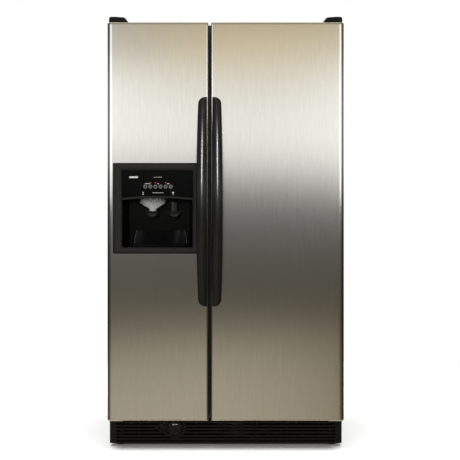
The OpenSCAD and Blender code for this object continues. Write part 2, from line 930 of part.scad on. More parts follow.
module refrigerator_door_skin() {
    color("#b9b9b2")
        difference() {
            union() {
                difference() {
                    fridge_slab(0, door_back_y, door_z);
                    fridge_slab(sheet, door_back_y + over, grow(door_z, -sheet));
                }
                hinge_bushes(hinge_x, hinge_bush_r);
            }
            hinge_bores(hinge_x);
        }
}

module refrigerator_door_foam() {
    rib_x = grow(fridge_rib[0], over);
    pocket_x = grow(fridge_pocket[0], liner_t);
    pocket_z = grow(fridge_pocket[1], liner_t);
    color("#d9c98a")
        foam_blocks([
            slab_box(grow(fridge_door_x, over), grow(door_z, over)),
            rib_box([rib_x[0], pocket_x[0]], door_z),
            rib_box([pocket_x[1], rib_x[1]], door_z),
            rib_box(pocket_x, [door_z[0], pocket_z[0]]),
            rib_box(pocket_x, [pocket_z[1], door_z[1]])
        ])
            difference() {
                union() {
                    fridge_slab(sheet, core_y, grow(door_z, -sheet));
                    ribs(fridge_rib, fridge_pocket, liner_t, core_y - over);
                }
                hinge_bushes(hinge_x, hinge_bush_r);
            }
}

module refrigerator_door_liner() {
    color("#eef0f1")
        difference() {
            union() {
                span(grow(fridge_door_x, -sheet), [core_y, door_back_y], grow(door_z, -sheet));
                ribs(fridge_rib, fridge_pocket, 0, core_y);
            }
            ribs(fridge_rib, fridge_pocket, liner_t, core_y - over);
        }
}

module refrigerator_door_gasket() {
    color("#1a1a1b")
        gasket([fridge_door_x[0] + 3, hinge_x - 4], [132, 1612]);
}

module refrigerator_door_bins() {
    color("#dfe9ea", 0.5) {
        for (z = fridge_shallow_bins)
            door_bin(fridge_pocket[0], [door_back_y, rib_y], z);
        for (z = fridge_deep_bins)
            door_bin(fridge_pocket[0], [door_back_y, deep_bin_y], z);
    }
}

module refrigerator_door_handle() {
    handle(-50.5, 1);
}

// --------------------------------------------------------------- dispenser

// Ear that carries one end of a lever's axle
module lever_ears(x) {
    for (ear_x = [x - 15, x + 15])
        difference() {
            span(grow([ear_x, ear_x], 2.5), grow([lever_axle_y, lever_axle_y], 5),
                 [lever_axle_z - 6, cavity_z[1] + over]);
            rod_x(grow([ear_x, ear_x], 4), lever_axle_y, lever_axle_z, lever_axle_r + pin_play);
        }
}

module dispenser_housing() {
    color("#0d0d0e") {
        difference() {
            housing_outside(housing_t);
            along_z(cavity_z)
                polygon(cavity_plan(0, door_front_y - over));
            span(cavity_x, [door_front_y - over, panel_y[1] + 14], panel_z);
            chute_bore(chute_r + seam);
        }
        lever_ears(ice_lever_x);
        lever_ears(water_lever_x);
        rod_z(water_x, -318, [cavity_z[1] - 14, cavity_z[1] + over], 6);
    }
}

// Picture frame whose front slopes back to its outer edge on all four sides
module dispenser_bezel() {
    y = [frame_front_y, door_front_y];
    slope = 12;
    ridge_mid = (cavity_x[0] + cavity_x[1]) / 2;
    ridge_r = 1112;
    color("#2b2b2c")
        intersection() {
            along_z(frame_z)
                polygon([
                    [frame_x[0], y[1]], [frame_x[0], y[1] - 2], [frame_x[0] + slope, y[0]],
                    [frame_x[1] - slope, y[0]], [frame_x[1], y[1] - 2], [frame_x[1], y[1]]
                ]);
            along_x(frame_x)
                polygon([
                    [y[1], frame_z[0]], [y[1] - 2, frame_z[0]], [y[0], frame_z[0] + slope],
                    [y[0], frame_z[1] - slope], [y[1] - 2, frame_z[1]], [y[1], frame_z[1]]
                ]);
            union() {
                difference() {
                    span(frame_x, y, frame_z);
                    span(cavity_x, grow(y, over), [cavity_z[0], panel_z[1]]);
                }
                // Arched brow between the control panel and the cavity
                along_y([y[0] + 2, y[1]])
                    intersection() {
                        translate([cavity_x[0] - over, frame_z[0] + 195])
                            square([cavity_x[1] - cavity_x[0] + 2 * over, 30]);
                        difference() {
                            translate([ridge_mid, frame_z[0] + 219.5 - ridge_r])
                                circle(r = ridge_r, $fn = 360);
                            translate([ridge_mid, frame_z[0] + 211 - ridge_r])
                                circle(r = ridge_r, $fn = 360);
                        }
                    }
            }
        }
}

module dispenser_panel() {
    color("#08080a")
        difference() {
            span(grow(cavity_x, -0.5), panel_y, grow(panel_z, -0.5));
            for (i = [0:5])
                rod_y(button_x + i * button_pitch, grow(panel_y, over), button_z, button_d / 2 + 0.3);
            for (x = light_x)
                rod_y(x, grow(panel_y, over), light_z, 2.6);
        }
}

module indicator_lights() {
    color("#b02a22")
        for (x = light_x)
            rod_y(x, [panel_y[0] - 0.6, panel_y[1] + 3], light_z, 2.4);
}

module dispenser_button(i) {
    x = button_x + i * button_pitch;
    color("#3a3b3d") {
        rod_y(x, [panel_y[0] - 2, panel_y[1] + 3], button_z, button_d / 2);
        rod_y(x, [panel_y[1] + 2.5, panel_y[1] + 4.5], button_z, button_d / 2 + 1.2);
    }
}
module dispenser_button_1() { dispenser_button(0); }
module dispenser_button_2() { dispenser_button(1); }
module dispenser_button_3() { dispenser_button(2); }
module dispenser_button_4() { dispenser_button(3); }
module dispenser_button_5() { dispenser_button(4); }
module dispenser_button_6() { dispenser_button(5); }

// Oval funnel under the chute
module funnel_shape(t) {
    neck_z = frame_z[0] + 163;
    translate([chute_x, chute_foot_y, 0])
        scale([1, 0.72, 1])
            rotate_extrude($fn = 40)
                polygon([
                    [0, neck_z - t], [15 - t * 0.9, neck_z - t], [15 - t * 0.9, neck_z + 9],
                    [49.5 - t, neck_z + 30], [49.5 - t, cavity_z[1] - 0.2 + t], [0, cavity_z[1] - 0.2 + t]
                ]);
}

module ice_funnel() {
    color("#cfd2d3") {
        difference() {
            funnel_shape(0);
            funnel_shape(2.2);
        }
        difference() {
            chute_bore(chute_r);
            chute_bore(chute_r - 2.5);
        }
    }
}

// Catch tray with slots, and a splash plate behind it
module drip_tray() {
    x = [-357, -148];
    z = cavity_z[0];
    color("#151516") {
        difference() {
            span(x, [-358, -266], [z, z + 14]);
            for (i = [0:12])
                span([x[0] + 12 + i * 14.6, x[0] + 20 + i * 14.6], [-350, -276], [z + 3, z + 15]);
        }
        along_y([-272, -266])
            polygon(concat(
                [[x[0], z + 10], [x[0] + 9, z + 68]],
                [for (i = [1:9]) [x[0] + 9 + i * 19.1, z + 68 - 7 * sin(i * 18)]],
                [[x[1] - 9, z + 68], [x[1], z + 10]]
            ));
    }
}

// Paddle that a glass pushes back, hung on an axle
module lever(x, pad_w) {
    pad_z = lever_axle_z - 63;
    r = pad_w / 2;
    rod_x([x - 17, x + 17], lever_axle_y, lever_axle_z, lever_axle_r);
    span([x - 12, x + 12], grow([lever_axle_y, lever_axle_y], 4), [pad_z + 22, lever_axle_z + 4]);
    along_y([-292, lever_axle_y - 2])
        intersection() {
            translate([x - r, pad_z]) square([pad_w, 30]);
            translate([x, pad_z + r * 1.05]) circle(r = r * 1.05, $fn = 60);
        }
}

module ice_lever() {
    color("#29292b") lever(ice_lever_x, 50);
}

module water_lever() {
    color("#29292b") lever(water_lever_x, 54);
}

// -------------------------------------------------------------- small parts

module top_bracket() {
    difference() {
        union() {
            span([-441, -385], [-348, -218], [cabinet_top, cabinet_top + bracket_t]);
            rod_z(-hinge_x, hinge_y, [door_z[1] - hinge_bush_l + 3, cabinet_top + over], hinge_pin_r);
        }
        for (p = top_screws)
            rod_z(p[0], p[1], [cabinet_top - over, cabinet_top + 5], screw_r + 0.2);
    }
}

module bottom_bracket() {
    z = [body_bottom - 3.5, body_bottom - 0.5];
    difference() {
        union() {
            span([-447, -392], [-348, -240], z);
            rod_z(-hinge_x, hinge_y, [z[0] + over, door_z[0] + hinge_bush_l - 3], hinge_pin_r);
        }
        for (p = bottom_screws)
            rod_z(p[0], p[1], grow(z, over), screw_r + 0.2);
    }
}

module hinge_brackets() {
    color("#8d9094")
        both_sides() {
            top_bracket();
            bottom_bracket();
        }
}

// Outline of a hinge cover from the front, drawn in by t
function cover_outline(t) = let (z = cabinet_top) concat(
    [[-445 + t, z - t]],
    arc([-437, z + 13.5], 8 - t, 180, 90, 5),
    [[-420, z + 21.5 - t], [-402, z + 20.2 - t]],
    arc([-393, z + 4.5], 15 - t, 84, 38, 5),
    [[-370.5 - t, z - t]]
);

module hinge_covers() {
    color("#121213")
        both_sides()
            difference() {
                along_y([-352, -215])
                    polygon(cover_outline(0));
                along_y([-349.5, -217.5])
                    polygon(cover_outline(2.5));
            }
}

module screw(x, y, z, dir, l) {
    rod_z(x, y, dir > 0 ? [z - l, z + over] : [z - over, z + l], screw_r);
    translate([x, y, dir > 0 ? z : z - 4])
        cylinder(h = 4, r = 6, $fn = 6);
}

module hinge_screws() {
    color("#a8abae")
        both_sides() {
            for (p = top_screws)
                screw(p[0], p[1], cabinet_top + bracket_t, 1, 20);
            for (p = bottom_screws)
                screw(p[0], p[1], body_bottom - 3.5, -1, 18);
        }
}

module water_filter() {
    color("#e8e9ea") {
        rod_y(filter_x, [-258, 6], filter_z, filter_r);
        rod_y(filter_x, [5, 16], filter_z, 12);
    }
}

// Quarter-turn cap with a grip bar across it
module filter_cap() {
    color("#1f2024")
        difference() {
            rod_y(filter_x, [-284, -258], filter_z, cap_d / 2);
            for (side = [-1, 1])
                intersection() {
                    rod_y(filter_x, [-285, -276], filter_z, cap_d / 2 - 4);
                    span([filter_x - 40, filter_x + 40], [-286, -276],
                         side > 0 ? [filter_z + 6, filter_z + 40] : [filter_z - 40, filter_z - 6]);
                }
        }
}

module filter_button() {
    color("#242427") {
        rod_y(eject_x, [-270, -251.5], filter_z, 11);
        rod_y(eject_x, [-254.5, -251.5], filter_z, 12.2);
    }
}

module levelling_leg(x) {
    color("#9a9da0") {
        rod_z(x, leg_y, [0, 8], 19);
        rod_z(x, leg_y, [7, 24], 10);
        rod_z(x, leg_y, [23, 74], 6);
    }
}
module levelling_leg_left() { levelling_leg(-leg_x); }
module levelling_leg_right() { levelling_leg(leg_x); }

module rear_rollers() {
    color("#2d2d2f") {
        rod_x([-433, 433], roller_y, roller_r, axle_r);
        both_sides()
            difference() {
                rod_x([-roller_x - 15, -roller_x + 15], roller_y, roller_r, roller_r);
                for (x = [-roller_x - 16, -roller_x + 11])
                    difference() {
                        rod_x([x, x + 5], roller_y, roller_r, roller_r - 5);
                        rod_x([x - over, x + 6], roller_y, roller_r, axle_r + 4);
                    }
            }
    }
}

cabinet_wrapper();
rear_panel();
cabinet_foam();
freezer_liner();
refrigerator_liner();
mullion_rail();
base_chassis();
base_grille();
compressor();
condenser_coil();
drain_pan();
rear_access_cover();
power_inlet();
evaporator_coil();
evaporator_cover();
freezer_shelves();
ice_maker();
ice_bin();
shelf_glass();
shelf_frames();
hinge_brackets();
hinge_covers();
hinge_screws();
freezer_door_skin();
freezer_door_foam();
freezer_door_liner();
freezer_door_gasket();
freezer_door_bins();
freezer_door_handle();
dispenser_housing();
dispenser_bezel();
dispenser_panel();
indicator_lights();
ice_funnel();
drip_tray();
refrigerator_door_skin();
refrigerator_door_foam();
refrigerator_door_liner();
refrigerator_door_gasket();
refrigerator_door_bins();
refrigerator_door_handle();
ice_lever();
water_lever();
dispenser_button_1();
dispenser_button_2();
dispenser_button_3();
dispenser_button_4();
dispenser_button_5();
dispenser_button_6();
water_filter();
filter_cap();
filter_button();
condenser_fan();
evaporator_fan();
ice_auger();
crisper_upper();
crisper_lower();
levelling_leg_left();
levelling_leg_right();
rear_rollers();
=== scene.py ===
import math

import bmesh
import bpy
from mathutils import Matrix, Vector


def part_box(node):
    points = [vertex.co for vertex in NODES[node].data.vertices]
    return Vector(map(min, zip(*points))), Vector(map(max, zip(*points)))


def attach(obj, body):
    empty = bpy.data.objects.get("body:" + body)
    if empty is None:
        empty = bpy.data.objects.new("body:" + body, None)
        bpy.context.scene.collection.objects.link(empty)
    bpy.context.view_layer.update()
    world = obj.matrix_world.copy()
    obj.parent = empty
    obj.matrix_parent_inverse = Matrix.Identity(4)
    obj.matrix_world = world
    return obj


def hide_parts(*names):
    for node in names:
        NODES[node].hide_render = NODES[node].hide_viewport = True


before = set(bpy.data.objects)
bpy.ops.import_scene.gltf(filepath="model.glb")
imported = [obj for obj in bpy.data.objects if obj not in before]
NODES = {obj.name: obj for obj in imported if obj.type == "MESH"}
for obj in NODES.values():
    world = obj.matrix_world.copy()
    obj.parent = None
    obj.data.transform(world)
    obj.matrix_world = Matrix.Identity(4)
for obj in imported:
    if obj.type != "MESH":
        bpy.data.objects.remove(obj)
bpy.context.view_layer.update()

MM = 0.001


# ---------------------------------------------------------------- materials

def new_material(name, color, roughness, metallic=0.0, **sockets):
    """A Principled material; sockets are set by their names, with _ for a space."""
    mat = bpy.data.materials.new(name)
    mat.use_nodes = True
    bsdf = mat.node_tree.nodes["Principled BSDF"]
    bsdf.inputs["Base Color"].default_value = (*color[:3], 1.0)
    bsdf.inputs["Roughness"].default_value = roughness
    bsdf.inputs["Metallic"].default_value = metallic
    for key, value in sockets.items():
        bsdf.inputs[key.replace("_", " ")].default_value = value
    return mat


def noise(mat, scale, stretch=(1, 1, 1), detail=3.0):
    """A noise texture in object space, finer along an axis with a larger stretch."""
    nodes, links = mat.node_tree.nodes, mat.node_tree.links
    coord = nodes.new("ShaderNodeTexCoord")
    mapping = nodes.new("ShaderNodeMapping")
    mapping.inputs["Scale"].default_value = stretch
    texture = nodes.new("ShaderNodeTexNoise")
    texture.inputs["Scale"].default_value = scale
    texture.inputs["Detail"].default_value = detail
    links.new(coord.outputs["Object"], mapping.inputs["Vector"])
    links.new(mapping.outputs["Vector"], texture.inputs["Vector"])
    return texture.outputs["Fac"]


def vary_color(mat, factor, low, high):
    """Base colour between low and high times itself, by factor."""
    nodes, links = mat.node_tree.nodes, mat.node_tree.links
    bsdf = nodes["Principled BSDF"]
    base = bsdf.inputs["Base Color"].default_value[:3]
    ramp = nodes.new("ShaderNodeValToRGB")
    ramp.color_ramp.elements[0].position = 0.3
    ramp.color_ramp.elements[1].position = 0.7
    ramp.color_ramp.elements[0].color = (*[c * low for c in base], 1)
    ramp.color_ramp.elements[1].color = (*[c * high for c in base], 1)
    links.new(factor, ramp.inputs["Fac"])
    links.new(ramp.outputs["Color"], bsdf.inputs["Base Color"])


def painted_highlight_low_shade_high(mat, factor, z0, z1):
    """The factor, raised towards height z0 and lowered towards z1, in metres: painted highlight low down and
    painted shade high up.
    """
    nodes, links = mat.node_tree.nodes, mat.node_tree.links
    coord = nodes.new("ShaderNodeTexCoord")
    split = nodes.new("ShaderNodeSeparateXYZ")
    fade = nodes.new("ShaderNodeMapRange")
    total = nodes.new("ShaderNodeMath")
    fade.inputs["From Min"].default_value = z0
    fade.inputs["From Max"].default_value = z1
    fade.inputs["To Min"].default_value = 0.3
    fade.inputs["To Max"].default_value = -0.2
    links.new(coord.outputs["Object"], split.inputs["Vector"])
    links.new(split.outputs["Z"], fade.inputs["Value"])
    links.new(factor, total.inputs[0])
    links.new(fade.outputs["Result"], total.inputs[1])
    return total.outputs["Value"]


def vary_roughness(mat, factor, low, high):
    """Roughness between low and high, by factor."""
    nodes, links = mat.node_tree.nodes, mat.node_tree.links
    spread = nodes.new("ShaderNodeMapRange")
    spread.inputs["From Min"].default_value = 0.3
    spread.inputs["From Max"].default_value = 0.7
    spread.inputs["To Min"].default_value = low
    spread.inputs["To Max"].default_value = high
    links.new(factor, spread.inputs["Value"])
    links.new(spread.outputs["Result"], nodes["Principled BSDF"].inputs["Roughness"])


def bump(mat, factor, height, strength=1.0):
    """Bump of that height in metres."""
    nodes, links = mat.node_tree.nodes, mat.node_tree.links
    node = nodes.new("ShaderNodeBump")
    node.inputs["Strength"].default_value = strength
    node.inputs["Distance"].default_value = height
    links.new(factor, node.inputs["Height"])
    links.new(node.outputs["Normal"], nodes["Principled BSDF"].inputs["Normal"])


def brushed_steel():
    """Fine vertical grain: it blurs reflections sideways much more than up and down."""
    mat = new_material("brushed_steel", (0.60, 0.585, 0.545), 0.15, 1.0, Anisotropic=0.88)
    nodes, links = mat.node_tree.nodes, mat.node_tree.links
    tangent = nodes.new("ShaderNodeTangent")
    tangent.direction_type = "RADIAL"
    tangent.axis = "Z"
    links.new(tangent.outputs["Tangent"], nodes["Principled BSDF"].inputs["Tangent"])
    vary_color(mat, noise(mat, 60, (7, 7, 0.3), 6.0), 0.962, 1.034)
    vary_roughness(mat, noise(mat, 30, (14, 14, 0.2), 4.0), 0.14, 0.165)
    return mat


def moulded_plastic(name, color, roughness, grain=0.00004, grain_scale=900, mottle=0.08, **sockets):
    """Plastic with a fine moulded grain and slightly uneven gloss."""
    mat = new_material(name, color, roughness, **sockets)
    vary_color(mat, noise(mat, 14), 1 - mottle, 1 + mottle)
    vary_roughness(mat, noise(mat, 35), roughness * 0.88, roughness * 1.12)
    bump(mat, noise(mat, grain_scale, detail=2.0), grain, 0.6)
    return mat


def painted_steel(name, color, roughness=0.45):
    """Enamel with orange peel and faint dust."""
    mat = new_material(name, color, roughness, 0.0, Coat_Weight=0.25, Coat_Roughness=0.3)
    vary_color(mat, noise(mat, 8), 0.93, 1.07)
    vary_roughness(mat, noise(mat, 22), roughness * 0.9, roughness * 1.15)
    bump(mat, noise(mat, 420, detail=2.0), 0.00006, 0.5)
    return mat


def bare_metal(name, color, roughness, scratch=(1, 1, 1)):
    """Bare or plated metal, with stains and scratches stretched by scratch."""
    mat = new_material(name, color, roughness, 1.0)
    vary_color(mat, noise(mat, 40, scratch, 5.0), 0.86, 1.08)
    vary_roughness(mat, noise(mat, 120, scratch, 4.0), roughness * 0.8, roughness * 1.25)
    bump(mat, noise(mat, 500, scratch), 0.00002, 0.4)
    return mat


def clear_plastic(name, color, roughness=0.08, ior=1.49):
    """Clear sheet or moulding with slightly wavy faces."""
    mat = new_material(name, color, roughness, Transmission_Weight=0.92, IOR=ior)
    vary_roughness(mat, noise(mat, 30), roughness * 0.6, roughness * 1.6)
    bump(mat, noise(mat, 60), 0.00003, 0.3)
    return mat


def poured_foam():
    """Yellowish insulation with open cells."""
    mat = new_material("foam", (0.76, 0.64, 0.36), 0.9)
    cells = noise(mat, 240, detail=6.0)
    vary_color(mat, cells, 0.8, 1.1)
    bump(mat, cells, 0.0006, 0.8)
    return mat


STEEL = brushed_steel()
GLOSS_BLACK = moulded_plastic("gloss_black", (0.0035, 0.0035, 0.0032), 0.2, 0.000001, 400,
                              Specular_IOR_Level=0.28)
PANEL_BLACK = moulded_plastic("panel_black", (0.0012, 0.0012, 0.0012), 0.14, 0.000003, 400,
                              Specular_IOR_Level=0.08)
FRAME_BLACK = moulded_plastic("frame_black", (0.0085, 0.0085, 0.0085), 0.34, 0.00008, 1100,
                              Specular_IOR_Level=0.4)
CAVITY_BLACK = moulded_plastic("cavity_black", (0.0015, 0.0015, 0.0016), 0.2, 0.00001, 700,
                               Specular_IOR_Level=0.12)
TRAY_BLACK = moulded_plastic("tray_black", (0.0010, 0.0012, 0.0016), 0.14, 0.000004, 400,
                             Specular_IOR_Level=0.12)
# Rims a lighter grey than the tray: a painted glint up the splash plate's edges, over the real gloss and lamp
# glints.
TRAY_RIM_PAINTED_GLINT = moulded_plastic("tray_rim", (0.05, 0.052, 0.055), 0.2, 0.000004, 400, Coat_Weight=0.6)
PADDLE_BLACK = moulded_plastic("paddle_black", (0.006, 0.006, 0.006), 0.25, 0.00001, 700,
                               Specular_IOR_Level=0.35)
GRILLE_BLACK = moulded_plastic("grille_black", (0.004, 0.004, 0.0038), 0.36, 0.00004, 900,
                               Specular_IOR_Level=0.2)
BUTTON_GREY = moulded_plastic("button_grey", (0.035, 0.035, 0.037), 0.35, 0.00002, 900)
PRINT_GREY = moulded_plastic("print_grey", (0.24, 0.24, 0.24), 0.5, 0.00001, 900)
PRINT_WHITE = moulded_plastic("print_white", (0.62, 0.62, 0.60), 0.5, 0.00001, 900)
CABINET_PAINT = painted_steel("cabinet_paint", (0.022, 0.0225, 0.024))
REAR_PAINT = painted_steel("rear_paint", (0.075, 0.077, 0.08), 0.6)
CHASSIS_PAINT = painted_steel("chassis_paint", (0.016, 0.016, 0.017), 0.5)
COMPRESSOR_PAINT = painted_steel("compressor_paint", (0.008, 0.008, 0.008), 0.3)
LINER_WHITE = moulded_plastic("liner_white", (0.80, 0.81, 0.80), 0.34, 0.00003, 500, 0.012)
SHELF_WHITE = painted_steel("shelf_white", (0.82, 0.82, 0.80), 0.35)
FAN_WHITE = moulded_plastic("fan_white", (0.72, 0.73, 0.72), 0.4, mottle=0.02)
ROLLER_BLACK = moulded_plastic("roller_black", (0.03, 0.03, 0.03), 0.5)
RUBBER = moulded_plastic("rubber", (0.018, 0.018, 0.019), 0.75, 0.00008, 700)
ZINC = bare_metal("zinc", (0.56, 0.57, 0.58), 0.38)
LEG_METAL = bare_metal("leg_metal", (0.09, 0.09, 0.09), 0.45)
COIL_METAL = bare_metal("coil_metal", (0.72, 0.71, 0.69), 0.35, (1, 1, 6))
COPPER_BROWN = bare_metal("copper_brown", (0.42, 0.24, 0.14), 0.4)
MOULD_METAL = bare_metal("mould_metal", (0.66, 0.67, 0.68), 0.3)
CLEAR = clear_plastic("clear_plastic", (0.93, 0.96, 0.97))
FUNNEL_CLEAR = clear_plastic("funnel_clear", (0.92, 0.94, 0.94), 0.12)
FUNNEL_CLEAR.node_tree.nodes["Principled BSDF"].inputs["Transmission Weight"].default_value = 0.6
# The funnel's colour is a painted highlight towards the neck and painted shade towards the top, over noise
# streaks.
vary_color(FUNNEL_CLEAR, painted_highlight_low_shade_high(FUNNEL_CLEAR, noise(FUNNEL_CLEAR, 260, (1, 1, 0.3)),
                                         0.925, 0.965), 0.22, 1.05)
SHELF_GLASS = clear_plastic("shelf_glass", (0.80, 0.93, 0.88), 0.02, 1.52)
FOAM = poured_foam()
LED_RED = new_material("led_red", (0.30, 0.02, 0.015), 0.2,
                       Emission_Color=(1.0, 0.08, 0.04, 1), Emission_Strength=0.05)
vary_roughness(LED_RED, noise(LED_RED, 200), 0.15, 0.3)

NODE_MATERIALS = {
    "cabinet_wrapper": CABINET_PAINT, "mullion_rail": CABINET_PAINT,
    "rear_panel": REAR_PAINT, "rear_access_cover": REAR_PAINT,
    "cabinet_foam": FOAM, "freezer_door_foam": FOAM, "refrigerator_door_foam": FOAM,
    "freezer_liner": LINER_WHITE, "refrigerator_liner": LINER_WHITE,
    "freezer_door_liner": LINER_WHITE, "refrigerator_door_liner": LINER_WHITE,
    "evaporator_cover": LINER_WHITE, "shelf_frames": LINER_WHITE,
    "base_chassis": CHASSIS_PAINT, "base_grille": GRILLE_BLACK, "hinge_covers": GRILLE_BLACK,
    "power_inlet": RUBBER, "drain_pan": ROLLER_BLACK, "filter_button": GRILLE_BLACK,
    "filter_cap": GRILLE_BLACK, "compressor": COMPRESSOR_PAINT,
    "condenser_coil": COPPER_BROWN, "evaporator_coil": COIL_METAL,
    "freezer_shelves": SHELF_WHITE, "ice_maker": MOULD_METAL, "ice_auger": MOULD_METAL,
    "ice_bin": CLEAR, "freezer_door_bins": CLEAR, "refrigerator_door_bins": CLEAR,
    "crisper_upper": CLEAR, "crisper_lower": CLEAR, "ice_funnel": FUNNEL_CLEAR,
    "shelf_glass": SHELF_GLASS, "hinge_brackets": ZINC, "hinge_screws": ZINC,
    "levelling_leg_left": LEG_METAL, "levelling_leg_right": LEG_METAL,
    "freezer_door_skin": STEEL, "refrigerator_door_skin": STEEL,
    "freezer_door_gasket": RUBBER, "refrigerator_door_gasket": RUBBER,
    "freezer_door_handle": GLOSS_BLACK, "refrigerator_door_handle": GLOSS_BLACK,
    "dispenser_panel": PANEL_BLACK, "dispenser_bezel": FRAME_BLACK,
    "dispenser_housing": CAVITY_BLACK, "drip_tray": TRAY_BLACK,
    "ice_lever": PADDLE_BLACK, "water_lever": PADDLE_BLACK, "indicator_lights": LED_RED,
    "water_filter": FAN_WHITE, "condenser_fan": FAN_WHITE, "evaporator_fan": FAN_WHITE,
    "rear_rollers": ROLLER_BLACK,
    **{f"dispenser_button_{i}": BUTTON_GREY for i in range(1, 7)},
}

# Edge radius, in mm, of the CAD nodes whose corners show
EDGE_RADIUS = {
    "cabinet_wrapper": 0.4, "base_grille": 0.9, "hinge_covers": 1.6, "filter_cap": 1.6,
    "filter_button": 1.4, "dispenser_panel": 0.4, "dispenser_housing": 1.0,
    "freezer_liner": 1.2, "refrigerator_liner": 1.2, "freezer_door_liner": 1.5,
    "refrigerator_door_liner": 1.5, "shelf_frames": 2.0, "shelf_glass": 0.8,
    "freezer_shelves": 0.9, "ice_bin": 1.3, "crisper_upper": 1.3, "crisper_lower": 1.3,
    "freezer_door_bins": 1.3, "refrigerator_door_bins": 1.3, "ice_maker": 1.2,
    "hinge_brackets": 0.7, "hinge_screws": 0.6, "power_inlet": 0.8, "drain_pan": 0.7,
    "rear_access_cover": 0.3, "evaporator_cover": 0.6, "base_chassis": 0.6,
    "levelling_leg_left": 0.8, "levelling_leg_right": 0.8, "rear_rollers": 1.0,
    "water_filter": 1.2, "mullion_rail": 0.3, "freezer_door_gasket": 2.0,
    "refrigerator_door_gasket": 2.0,
}


def dress_node(name):
    """Gives a CAD node its material and welds it; rounds the edges, with hardened normals, of those listed in
    EDGE_RADIUS.
    """
    obj = NODES[name]
    obj.data.materials.clear()
    obj.data.materials.append(NODE_MATERIALS[name])
    weld = obj.modifiers.new("weld", "WELD")
    weld.merge_threshold = 0.00001
    if name in EDGE_RADIUS:
        flat = obj.modifiers.new("flat", "DECIMATE")
        flat.decimate_type = "DISSOLVE"
        flat.angle_limit = math.radians(0.5)
        bevel = obj.modifiers.new("bevel", "BEVEL")
        bevel.width = EDGE_RADIUS[name] * MM
        bevel.segments = 2
        bevel.limit_method = "ANGLE"
        bevel.angle_limit = math.radians(40)
        bevel.harden_normals = True


for node_name in NODES:
    dress_node(node_name)


# ------------------------------------------------------------ making meshes

def smooth_but_sharp(mesh, sharp_deg):
    """Smooth shading, with edges sharp over that angle and where the surface ends."""
    mesh.polygons.foreach_set("use_smooth", [True] * len(mesh.polygons))
    mesh.set_sharp_from_angle(angle=math.radians(sharp_deg))
    bm = bmesh.new()
    bm.from_mesh(mesh)
    for edge in bm.edges:
        if edge.is_boundary:
            edge.smooth = False
    bm.to_mesh(mesh)
    bm.free()


def make_piece(name, verts, faces, material, body, slot, stands_for=(), sharp_deg=40):
    """A mesh piece in millimetres, in the row frame, that rides on a body."""
    mesh = bpy.data.meshes.new(name)
    mesh.from_pydata([Vector(v) * MM for v in verts], [], faces)
    mesh.validate()
    bm = bmesh.new()
    bm.from_mesh(mesh)
    bmesh.ops.remove_doubles(bm, verts=bm.verts, dist=0.000001)
    bmesh.ops.recalc_face_normals(bm, faces=bm.faces)
    bm.to_mesh(mesh)
    bm.free()
    smooth_but_sharp(mesh, sharp_deg)
    mesh.materials.append(material)
    obj = bpy.data.objects.new(name, mesh)
    bpy.context.scene.collection.objects.link(obj)
    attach(obj, body)
    if stands_for:
        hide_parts(*stands_for)
    return obj


def soften(obj, radius):
    """Rounds a piece's sharp edges, in mm."""
    edge = obj.modifiers.new("bevel", "BEVEL")
    edge.width = radius * MM
    edge.segments = 3
    edge.limit_method = "ANGLE"
    edge.angle_limit = math.radians(50)


def loft(rows, closed=True, caps=True):
    """Vertices and faces through rows of points; caps close both ends."""
    n = len(rows[0])
    verts = [p for row in rows for p in row]
    faces = []
    for i in range(len(rows) - 1):
        for j in range(n if closed else n - 1):
            k = (j + 1) % n
            faces.append((i * n + j, i * n + k, (i + 1) * n + k, (i + 1) * n + j))
    if caps:
        faces.append(tuple(range(n - 1, -1, -1)))
        faces.append(tuple((len(rows) - 1) * n + j for j in range(n)))
    return verts, faces


def merged(*parts):
    """Several (verts, faces) as one."""
    verts, faces = [], []
    for part_verts, part_faces in parts:
        start = len(verts)
        verts += part_verts
        faces += [tuple(i + start for i in f) for f in part_faces]
    return verts, faces


def lathe(profile, centre, axis="y", steps=48, squash=(1.0, 1.0)):
    """Turns (radius, height) points about an axis through centre; the ends may touch it."""
    rows = []
    for r, h in profile:
        ring = []
        for i in range(steps):
            a = 2 * math.pi * i / steps
            u, v = r * math.cos(a) * squash[0], r * math.sin(a) * squash[1]
            offset = {"x": (h, u, v), "y": (u, h, v), "z": (u, v, h)}[axis]
            ring.append(tuple(c + o for c, o in zip(centre, offset)))
        rows.append(ring)
    return loft(rows)


def corner(cx, cy, r, a0, a1, steps=6):
    """Points of an arc in degrees."""
    return [
        (cx + r * math.cos(math.radians(a0 + (a1 - a0) * i / steps)),
         cy + r * math.sin(math.radians(a0 + (a1 - a0) * i / steps)))
        for i in range(steps + 1)
    ]


def rounded_rect(u0, u1, v0, v1, r, steps=5):
    """Outline of a rectangle with rounded corners."""
    return (
        corner(u1 - r, v0 + r, r, -90, 0, steps) + corner(u1 - r, v1 - r, r, 0, 90, steps)
        + corner(u0 + r, v1 - r, r, 90, 180, steps) + corner(u0 + r, v0 + r, r, 180, 270, steps)
    )


def box_mm(node):
    """A CAD node's box in millimetres: ((x0, y0, z0), (x1, y1, z1))."""
    lo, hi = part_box(node)
    return tuple(c / MM for c in lo), tuple(c / MM for c in hi)


# ------------------------------------------------------------------- doors

EDGE_ROLL = 5.0
DOOR_CROWN = 0.4
SHEET = 1.0
OUTER_EDGE_R, INNER_EDGE_R = 18, 7
HINGE_X, HINGE_DEPTH = 429, 30
HINGE_BORE_R, BUSH_BORE_R = 5.6, 5.1
BUSH_R, BUSH_FLANGE_R, BUSH_LENGTH = 9, 12, 25


